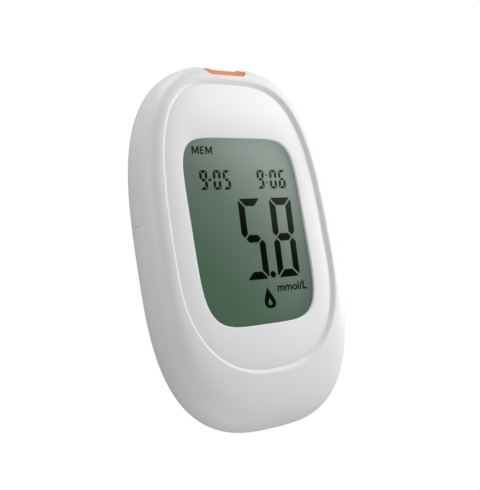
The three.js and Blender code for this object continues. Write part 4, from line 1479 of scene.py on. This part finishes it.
@dataclass
class SideKey:
    """The side key: a cap that follows the case's side, its flange and the nub over the switch."""

    form: CaseForm
    height: float = 4.4
    corner: float = 1.2
    seam: float = 0.06
    proud: float = 0.03
    top_gap: float = 0.1
    flange_border: float = 0.8
    flange_inset: float = 2.05
    flange_thickness: float = 0.8
    nub_size: float = 2.4
    nub_root: float = 0.3
    nub_round: float = 0.1

    def __post_init__(self) -> None:
        """Takes the key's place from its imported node."""
        low, high = box_mm("side_key")
        border = self.flange_border
        self.low = Vector((0, low.y + border, low.z + border))
        self.high_y = high.y - border
        self.nub_end = high.x

    def bar(self, grow: float, left: float, right: float) -> Solid:
        """The key's outline as a bar along X.

        Args:
            grow: How far it is grown all round.
            left: Where it starts.
            right: Where it ends.

        Returns:
            The bar.
        """
        low = (left, self.low.y - grow, self.low.z - grow)
        high = (right, self.high_y + grow, self.low.z + self.height + grow)
        return rounded_bar(low, high, self.corner + grow, (1, 0, 0))

    def window(self) -> Solid:
        """The cutter of the key's window in the rear shell."""
        half = self.form.case.half_width
        return self.bar(self.seam, -half - OVERRUN, -half / 2)

    def build(self) -> None:
        """Builds the key and dresses its switch."""
        form = self.form
        left = -form.case.half_width - OVERRUN
        top = form.parting_z - self.top_gap
        inner = self.flange_inset + self.flange_thickness
        border = self.flange_border
        cap = combined(form.hull_solid(0.0, -self.proud, top), Cut.KEEP_COMMON, self.bar(0.0, left, 0.0))
        flange_low = (left, self.low.y - border, self.low.z - border)
        region = block(flange_low, (0, self.high_y + border, top - self.top_gap))
        flange = combined(form.hull_solid(form.wall, self.flange_inset, top), Cut.KEEP_COMMON, region)
        hollow = form.hull_solid(form.wall, inner, top + OVERRUN)
        key = combined(combined(cap, Cut.JOIN, flange), Cut.TAKE_AWAY, hollow)
        half = self.nub_size / 2
        middle = (self.low.y + self.high_y) / 2
        plunger_z = sum(c.z for c in box_mm("switch_plunger")) / 2
        start = -form.case.half_width_at(inner, middle) - self.nub_root
        nub_high = (self.nub_end, middle + half, plunger_z + half)
        nub = block((start, middle - half, plunger_z - half / 2), nub_high, self.nub_round)
        key = combined(key, Cut.JOIN, nub)
        show("key_cap", key, KEY_ABS, Slot.WHITE_SHELL, "side_key", Body.KEY)
        dress(BLACK_NYLON, "key_switch", "switch_plunger")


@dataclass
class BatteryDoor:
    """The battery door: a plate that follows the back, two hooks, a latch tongue and grip grooves."""

    form: CaseForm
    corner: float = 4.0
    edge_round: float = 0.3
    hook_spacing: float = 14.0
    hook_width: float = 4.0
    hook_reach: float = 1.1
    hook_thickness: float = 0.7
    hook_root: float = 0.3
    hook_round: float = 0.15
    hook_sunk: float = 0.02
    latch_width: float = 8.0
    latch_thickness: float = 0.8
    latch_below_top: float = 1.0
    latch_root: float = 0.3
    latch_round: float = 0.2
    groove_count: int = 4
    groove_width: float = 0.6
    groove_end_round: float = 0.2857
    groove_pitch: float = 1.5
    groove_depth: float = 0.4
    groove_length: float = 11.0
    grooves_below_top: float = 3.4
    plate_thickness: float = 1.5

    def __post_init__(self) -> None:
        """Takes the door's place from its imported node."""
        self.low, self.high = box_mm("battery_door")
        self.bottom_y = self.low.y + self.hook_reach
        self.set_back = self.low.z
        self.plate_top = self.low.z + self.plate_thickness

    def plate(self, grow: float, z0: float, z1: float) -> Solid:
        """The door's outline as a plate between two heights, grown by a gap."""
        low = (self.low.x - grow, self.bottom_y - grow, z0)
        return rounded_bar(low, (self.high.x + grow, self.high.y + grow, z1), self.corner + grow, (0, 0, 1))

    def hooks(self, grow: float, inner: float, top: float) -> list[Solid]:
        """The two hooks at the door's lower end.

        Args:
            grow: How far they are grown all round.
            inner: How far they reach into the plate.
            top: The height of their upper side.

        Returns:
            The hooks.
        """
        hooks = []
        for side in (-1, 1):
            middle = side * self.hook_spacing / 2
            half = self.hook_width / 2 + grow
            foot_z = self.plate_top - self.hook_thickness - grow / 2
            low = (middle - half, self.bottom_y - self.hook_reach - grow, foot_z)
            hooks.append(block(low, (middle + half, self.bottom_y + inner, top), self.hook_round))
        return hooks

    def latch(self, grow: float) -> Solid:
        """The latch tongue near the door's upper end, grown by a gap.

        Args:
            grow: How far it is grown all round.

        Returns:
            The tongue.
        """
        front = self.high.y - self.latch_below_top
        half = self.latch_width / 2 + grow
        low = (-half, front - self.latch_thickness - grow, self.plate_top - self.latch_root)
        return block(low, (half, front + grow, self.high.z + grow), self.latch_round)

    def groove(self, number: int) -> Solid:
        """The cutter of one grip groove, counted from the top.

        Args:
            number: Which groove it is.

        Returns:
            The cutter.
        """
        half = self.groove_length / 2
        y = self.high.y - self.grooves_below_top - number * self.groove_pitch
        high = (half, y + self.groove_width, self.set_back + self.groove_depth)
        bm = block((-half, y, self.set_back - OVERRUN), high)
        round_edges(bm, edges_along(bm, (0, 0, 1)), self.groove_end_round)
        return bm

    def build(self) -> None:
        """Builds the door."""
        back = self.set_back
        plate = self.plate(0.0, back, self.plate_top)
        rim = [e for e in plate.edges if all(abs(v.co.z - back) < MERGE_DISTANCE for v in e.verts)]
        round_edges(plate, rim, self.edge_round)
        cover = self.form.hull_solid(back, back, self.form.parting_z)
        door = combined(plate, Cut.KEEP_COMMON, cover)
        hooks = self.hooks(0.0, self.hook_root, self.plate_top - self.hook_sunk)
        door = combined(door, Cut.JOIN, self.latch(0.0), *hooks)
        door = combined(door, Cut.TAKE_AWAY, *[self.groove(number) for number in range(self.groove_count)])
        show("door_plate", door, WHITE_ABS, Slot.WHITE_SHELL, "battery_door", Body.DOOR)


@dataclass
class RearShell:
    """The rear shell: the hull with the battery bay, the door's seat, screw wells, key window and lip."""

    form: CaseForm
    port: StripPort
    key: SideKey
    door: BatteryDoor
    bay_half_width: float = 11.0
    bay_wall: float = 1.1
    bay_below_door_top: float = 3.4
    bay_above_door_bottom: float = 2.0
    bay_ceiling: float = 12.65
    bay_ceiling_top: float = 13.65
    root_depth: float = 0.3
    door_seam: float = 0.12
    door_air: float = 0.1
    seat_width: float = 1.2
    seat_height: float = 1.2
    pocket_air: float = 0.25
    hook_pocket_reach: float = 1.4
    hook_pocket_height: float = 0.7
    boss_radius: float = 3.0
    boss_top: float = 9.6
    well_radius: float = 2.25
    well_top: float = 8.0
    screw_hole_radius: float = 1.2
    screw_hole_overlap: float = 0.5
    lip_inset: float = 0.75
    lip_thickness: float = 0.6
    lip_draft: float = 0.1
    lip_foot: float = 0.5
    mouth_floor_below: float = 2.4
    scoop_radius: float = 6.5
    scoop_reach: float = 3.2
    scoop_depth: float = 0.7
    tab_width: float = 2.5
    tab_depth: float = 0.9
    cell_spacing: float = 11.0

    def shell(self) -> Solid:
        """The hollow hull with its seam edge and lip.

        Returns:
            The solid.
        """
        form = self.form
        top = form.parting_z - form.seam / 2
        top_share = form.dome_share(top)
        round_z = top - form.seam_round
        half_way = (form.widest_z + round_z) / 2
        lip_top = form.parting_z + form.lip_height
        lip_share = form.dome_share(lip_top + self.lip_draft)
        outer = [
            *form.hull(0.0, 0.0),
            form.on_case(0.0, half_way, form.dome_share(half_way)),
            form.on_case(0.0, round_z, form.dome_share(round_z)),
            form.on_case(form.seam_shoulder, top - form.seam_shoulder, top_share),
            form.on_case(form.seam_round, top, top_share),
        ]
        lip = [
            form.on_case(self.lip_inset, top, lip_share),
            form.on_case(self.lip_inset, lip_top, lip_share),
            form.on_case(self.lip_inset + self.lip_thickness, lip_top, lip_share),
            form.on_case(form.wall, top - self.lip_foot, top_share),
        ]
        return loft([*outer, *lip, *reversed(form.hull(form.wall, form.wall))])

    def bay_span(self) -> Flat:
        """Where the battery bay starts and ends along Y."""
        return self.door.bottom_y + self.bay_above_door_bottom, self.door.high.y - self.bay_below_door_top

    def inside(self) -> Solid:
        """The bay, the door's seat and the bosses, trimmed to the hull.

        Returns:
            The solid.
        """
        form, door = self.form, self.door
        core = form.hull_solid(form.wall / 2, form.wall / 2, form.parting_z)
        root = form.wall / 2 - self.root_depth
        bay_low, bay_high = self.bay_span()
        half = self.bay_half_width + self.bay_wall
        high = (half, bay_high + self.bay_wall, self.bay_ceiling_top)
        bay = block((-half, bay_low - self.bay_wall, root), high)
        seat = door.plate(self.seat_width, root, door.plate_top + self.seat_height + self.door_air)
        bosses = [rod(self.boss_radius, place, root, self.boss_top) for place in form.boss_places()]
        return combined(combined(bay, Cut.JOIN, seat, *bosses), Cut.KEEP_COMMON, core)

    def scoop(self) -> Solid:
        """The cutter of the finger scoop at the door's upper end.

        Returns:
            The cutter.
        """
        radius, depth = self.scoop_radius, self.scoop_depth
        profile = [(0, -OVERRUN), (radius, -OVERRUN), (radius, 0), (radius - depth, depth), (0, depth)]
        return moved(turned(profile), (0, self.door.high.y + self.scoop_reach - radius, 0))

    def cutters(self) -> list[Solid]:
        """What is cut from the shell: bay, door seat, key window, mouth, scoop, pockets and screw wells.

        Returns:
            The cutters, in the order in which they are used.
        """
        form, door, port = self.form, self.door, self.port
        bay_low, bay_high = self.bay_span()
        half = self.bay_half_width
        floor_z = form.parting_z - self.mouth_floor_below
        mouth_top = form.parting_z + form.lip_height + OVERRUN
        tools = [
            block((-half, bay_low, -OVERRUN), (half, bay_high, self.bay_ceiling)),
            door.plate(self.door_seam, -OVERRUN, door.plate_top + self.door_air),
            self.key.window(),
            port.mouth(port.floor_y - form.wall, form.case.top + OVERRUN, 0.0, floor_z, mouth_top),
            self.scoop(),
            door.latch(self.pocket_air),
            *door.hooks(self.pocket_air, self.hook_pocket_reach, door.plate_top + self.hook_pocket_height),
        ]
        hole_z = self.well_top - self.screw_hole_overlap
        for place in form.boss_places():
            tools.append(rod(self.well_radius, place, -OVERRUN, self.well_top))
            tools.append(rod(self.screw_hole_radius, place, hole_z, self.boss_top + OVERRUN))
        for side in (-1, 1):
            middle = side * self.cell_spacing / 2
            tab = self.tab_width / 2
            low = (middle - tab, bay_high - self.tab_depth, self.bay_ceiling - OVERRUN)
            tools.append(block(low, (middle + tab, bay_high, self.bay_ceiling_top + OVERRUN)))
        return tools

    def build(self) -> None:
        """Builds the shell."""
        shell = combined(self.shell(), Cut.JOIN, self.inside())
        shell = combined(shell, Cut.TAKE_AWAY, *self.cutters())
        show("rear_cover", shell, WHITE_ABS, Slot.WHITE_SHELL, "rear_shell")


@dataclass
class BatteryPack:
    """The two cells and the contacts at both ends of the bay."""

    # Shares of the cell's radius, and heights, in the middle of its flat end.
    foot_middle: Profile = ((0, 0.25), (0.68, 0.25), (0.74, 0))
    # Distances in from the cell's side, and heights above its flat end.
    foot_edge: Profile = ((0.5, 0), (0.12, 0.3), (0, 0.7))
    # Distances in from the cell's side, and depths below its shoulder.
    shoulder: Profile = ((0, 1.8), (0.1, 1.6), (0.22, 1.3), (0.05, 0.65), (0.2, 0.25), (0.7, 0))
    # Distances out from the nub's side, and heights above the shoulder.
    nub: Profile = ((0.9, 0), (0.5, -0.15), (0, -0.05), (0, 0.75), (-0.25, 1.0))
    nub_radius: float = 1.8
    nub_length: float = 1.0
    jacket_share: float = 0.95
    spring_turns: int = 4
    spring_steps: int = 28
    spring_taper: float = 1.2
    wire_radius: float = 0.25
    wire_sides: int = 10
    plate_corner: float = 0.8
    plate_height: float = 8.0
    tab_half_width: float = 1.0
    tab_root: float = 2.0
    tab_round: float = 0.08
    dimple_radius: float = 1.7
    dimple_height: float = 0.12
    dimple_root: float = 0.2
    dimple_flank: float = 0.7

    def cell(self, node: str, name: str, nub_up: bool) -> None:
        """Builds one cell.

        Args:
            node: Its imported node.
            name: Its name.
            nub_up: True where its raised end points along +Y.
        """
        low, high = box_mm(node)
        middle = (low + high) / 2
        radius = (high.x - low.x) / 2
        full = high.y - low.y
        body = full - self.nub_length
        profile = [(radius * share, z) for share, z in self.foot_middle]
        profile += [(radius - inset, z) for inset, z in self.foot_edge]
        profile += [(radius - inset, body - depth) for inset, depth in self.shoulder]
        profile += [(self.nub_radius + out, body + z) for out, z in self.nub]
        start, way = (low.y, 1) if nub_up else (high.y, -1)
        bm = moved(turned([*profile, (0, full)]), (middle.x, start, middle.z), -way * math.pi / 2)
        piece = show(name, bm, NICKEL_STEEL, Slot.CELL_JACKET, node)
        piece.data.materials.append(material_of(CELL_FILM))
        jacket = sorted([start, start + way * (body - self.shoulder[0][1])])
        for face in piece.data.polygons:
            x, y, z = face.center / MM
            on_side = math.hypot(x - middle.x, z - middle.z) > radius * self.jacket_share
            if on_side and jacket[0] < y < jacket[1]:
                face.material_index = 1

    def spring(self, node: str, name: str, widens_up: bool) -> None:
        """Builds one coil spring that tapers towards its cell.

        Args:
            node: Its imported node.
            name: Its name.
            widens_up: True where its wide end is its upper one along Y.
        """
        low, high = box_mm(node)
        wide = (high.x - low.x) / 2 - self.wire_radius
        rise = high.y - low.y - 2 * self.wire_radius
        steps = self.spring_turns * self.spring_steps
        bm = bmesh.new()
        section = bmesh.ops.create_circle(bm, segments=self.wire_sides, radius=self.wire_radius)["verts"]
        bmesh.ops.translate(bm, vec=(wide, 0, 0), verts=section)
        bmesh.ops.spin(
            bm, geom=bm.verts[:] + bm.edges[:], cent=(0, 0, 0), axis=(0, 1, 0), dvec=(0, rise / steps, 0),
            angle=TURN * self.spring_turns, steps=steps,
        )
        bmesh.ops.holes_fill(bm, edges=[e for e in bm.edges if e.is_boundary], sides=0)
        for vert in bm.verts:
            reach = math.hypot(vert.co.x, vert.co.z)
            share = min(1.0, max(0.0, vert.co.y / rise))
            drawn = (reach - self.spring_taper * share) / reach
            vert.co.x *= drawn
            vert.co.z *= drawn
        if widens_up:
            bmesh.ops.transform(bm, matrix=Matrix.Rotation(math.pi, 4, "Z"), verts=bm.verts)
        start = high.y - self.wire_radius if widens_up else low.y + self.wire_radius
        bm = moved(bm, ((low.x + high.x) / 2, start, (low.z + high.z) / 2))
        show(name, bm, NICKEL_STEEL, Slot.PLATED_STEEL, node)

    def plate(self, node: str, name: str, dimples: Sequence[float], facing: int, tab: bool) -> None:
        """Builds one contact plate.

        Args:
            node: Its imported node.
            name: Its name.
            dimples: Where along X its raised contact dots are.
            facing: 1 where its contact side faces +Y, and -1 where it faces -Y.
            tab: True where a narrow tab runs up from it.
        """
        low, high = box_mm(node)
        top = low.z + self.plate_height if tab else high.z
        bm = rounded_bar(low, (high.x, high.y, top), self.plate_corner, (0, 1, 0))
        if tab:
            middle, half = (low.x + high.x) / 2, self.tab_half_width
            tab_low = (middle - half, low.y, top - self.tab_root)
            bm = combined(bm, Cut.JOIN, block(tab_low, (middle + half, high.y, high.z), self.tab_round))
        radius, height, flank = self.dimple_radius, self.dimple_height, self.dimple_flank
        face_y = high.y if facing > 0 else low.y
        root = [(0, -self.dimple_root), (radius, -self.dimple_root)]
        profile = [*root, (radius * flank, height * flank), (0, height)]
        for x in dimples:
            place = (x, face_y, (low.z + top) / 2)
            dimple = moved(turned(profile, SMALL_SIDES), place, -facing * math.pi / 2)
            bm = combined(bm, Cut.JOIN, dimple)
        show(name, bm, NICKEL_STEEL, Slot.PLATED_STEEL, node)

    def build(self) -> None:
        """Builds the cells, springs and plates."""
        left, right = [sum(c.x for c in box_mm(f"battery_cell_{i}")) / 2 for i in (1, 2)]
        self.cell("battery_cell_1", "cell_left", nub_up=True)
        self.cell("battery_cell_2", "cell_right", nub_up=False)
        self.spring("contact_spring_1", "spring_left", widens_up=False)
        self.spring("contact_spring_2", "spring_right", widens_up=True)
        self.plate("contact_bridge", "bridge_plate", [right], 1, tab=False)
        self.plate("contact_plate_1", "end_plate_left", [left], -1, tab=True)
        self.plate("contact_plate_2", "end_plate_right", [], -1, tab=True)


@dataclass
class Fasteners:
    """The four case screws, each with a domed head and a cross recess."""

    count: int = 4
    head_height: float = 1.3
    shank_radius: float = 1.05
    cross_reach: float = 1.15
    cross_half_width: float = 0.3
    cross_depth: float = 0.75
    dome: float = 0.35
    # Shares of the head's radius and of the dome's height.
    head: Profile = ((0, 0), (0.55, 0.16), (0.85, 0.6), (1.0, 1.3))

    def build(self) -> None:
        """Builds the screws."""
        reach, half, depth = self.cross_reach, self.cross_half_width, self.cross_depth
        for number in range(1, self.count + 1):
            node = f"case_screw_{number}"
            low, high = box_mm(node)
            radius = (high.x - low.x) / 2
            length = high.z - low.z
            profile = [(radius * share, self.dome * rise) for share, rise in self.head]
            profile += [(radius, self.head_height), (self.shank_radius, self.head_height)]
            profile += [(self.shank_radius, length - self.shank_radius), (0, length)]
            bars = [
                block((-reach, -half, -OVERRUN), (reach, half, depth)),
                block((-half, -reach, -OVERRUN), (half, reach, depth)),
            ]
            bm = combined(turned(profile, SMALL_SIDES), Cut.TAKE_AWAY, *bars)
            bm = moved(bm, ((low.x + high.x) / 2, (low.y + high.y) / 2, low.z))
            show(f"screw_{number}", bm, NICKEL_STEEL, Slot.PLATED_STEEL, node)


@dataclass
class Electronics:
    """The board and what is soldered or screwed to it, as packed."""

    chips: tuple[str, ...] = ("processor_chip", "analog_chip", "memory_chip")
    metal: tuple[str, ...] = ("clock_crystal", "board_screw_1", "board_screw_2")

    def build(self) -> None:
        """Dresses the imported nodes."""
        dress(BOARD_MASK, "main_board")
        dress(CHIP_EPOXY, *self.chips)
        dress(NICKEL_STEEL, *self.metal)
        dress(BLACK_NYLON, "buzzer")


@dataclass(frozen=True)
class Softbox:
    """A soft studio light."""

    name: str
    place_mm: Place
    size_mm: float
    watts: float
    aim_mm: Place = (0.0, 5.0, 15.0)

    def build(self) -> None:
        """Sets up the light, unseen by the camera."""
        lamp = bpy.data.lights.new(self.name, "AREA")
        lamp.shape = "SQUARE"
        lamp.size = self.size_mm * MM
        lamp.energy = self.watts
        light = put(self.name, lamp)
        light.location = Vector(self.place_mm) * MM
        way = Vector(self.aim_mm) - Vector(self.place_mm)
        light.rotation_mode = "QUATERNION"
        light.rotation_quaternion = way.to_track_quat("-Z", "Y")
        light.visible_camera = False


@dataclass
class Studio:
    """A plain pale floor well below the part, soft light from the upper right, and the camera."""

    floor_z_mm: float = -420.0
    floor_radius_mm: float = 6000.0
    surround: float = 0.303
    camera_mm: Place = (-141.56, -27.83, 196.25)
    look: Place = (0.6112, 0.1206, -0.7823)
    roll_degrees: float = -9.44
    lens_mm: float = 64.47
    sensor_mm: float = 36.0
    softboxes: tuple[Softbox, ...] = (
        Softbox("right_light", (120.0, 5.0, 60.0), 70.0, 0.083),
        Softbox("upper_right_light", (130.0, 130.0, 150.0), 120.0, 0.2),
        Softbox("back_light", (-60.0, 260.0, 20.0), 160.0, 0.235),
        Softbox("left_fill", (-280.0, 90.0, 60.0), 160.0, 0.165),
        Softbox("lower_fill", (0.0, -260.0, 140.0), 160.0, 0.195),
    )

    def build_floor(self) -> None:
        """Builds the floor, which lights nothing and shows as plain white."""
        material = bpy.data.materials.new("pale_floor")
        material.use_nodes = True
        tree = material.node_tree
        tree.nodes.clear()
        glow = add_node(tree, "Emission", {"Color": WHITE, "Strength": 1.0})
        add_node(tree, "OutputMaterial", {"Surface": glow})
        bm = bmesh.new()
        bmesh.ops.create_circle(bm, cap_ends=True, segments=ROUND_SIDES, radius=self.floor_radius_mm * MM)
        bmesh.ops.translate(bm, vec=(0, 0, self.floor_z_mm * MM), verts=bm.verts)
        floor = put("floor", mesh_of(bm, "floor"))
        floor.data.materials.append(material)
        floor.visible_diffuse = False
        floor.visible_glossy = False
        floor.visible_transmission = False
        floor.visible_shadow = False

    def build_surround(self) -> None:
        """Sets the studio's even light, with a white wall behind the part."""
        world = bpy.data.worlds.new("studio")
        bpy.context.scene.world = world
        world.use_nodes = True
        tree = world.node_tree
        tree.nodes.clear()
        seen = add_node(tree, "LightPath", output="Is Camera Ray")
        light = add_node(tree, "Background", {"Color": WHITE, "Strength": self.surround})
        wall = add_node(tree, "Background", {"Color": WHITE, "Strength": 1.0})
        mixed = add_node(tree, "MixShader", {"Fac": seen, 1: light, 2: wall})
        add_node(tree, "OutputWorld", {"Surface": mixed})

    def build_camera(self) -> None:
        """Sets the camera at the photograph's angle."""
        data = bpy.data.cameras.new("photo_camera")
        data.lens = self.lens_mm
        data.sensor_width = self.sensor_mm
        camera = put("photo_camera", data)
        look = Vector(self.look).normalized()
        level_up = (Vector((0, 1, 0)) - look.y * look).normalized()
        roll = math.radians(self.roll_degrees)
        up = level_up * math.cos(roll) - look.cross(level_up) * math.sin(roll)
        axes = Matrix((look.cross(up), up, -look)).transposed()
        camera.matrix_world = Matrix.Translation(Vector(self.camera_mm) * MM) @ axes.to_4x4()
        bpy.context.scene.camera = camera

    def build(self) -> None:
        """Builds floor, lights and camera."""
        self.build_floor()
        self.build_surround()
        for softbox in self.softboxes:
            softbox.build()
        self.build_camera()
        bpy.context.scene.view_settings.view_transform = "Standard"


def main() -> None:
    """Builds the studio and each sub-assembly in order."""
    logging.basicConfig(level=logging.INFO, format="%(name)s %(message)s")
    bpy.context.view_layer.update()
    Studio().build()
    form = CaseForm()
    port = StripPort(form)
    key = SideKey(form)
    door = BatteryDoor(form)
    front = FrontShell(form, port)
    rear = RearShell(form, port, key, door)
    face, display = FacePanel(form), Display(form)
    for assembly in (front, rear, face, display, port, key, door, BatteryPack(), Fasteners(), Electronics()):
        log.info("building %s", type(assembly).__name__)
        assembly.build()


if __name__ == "__main__":
    main()
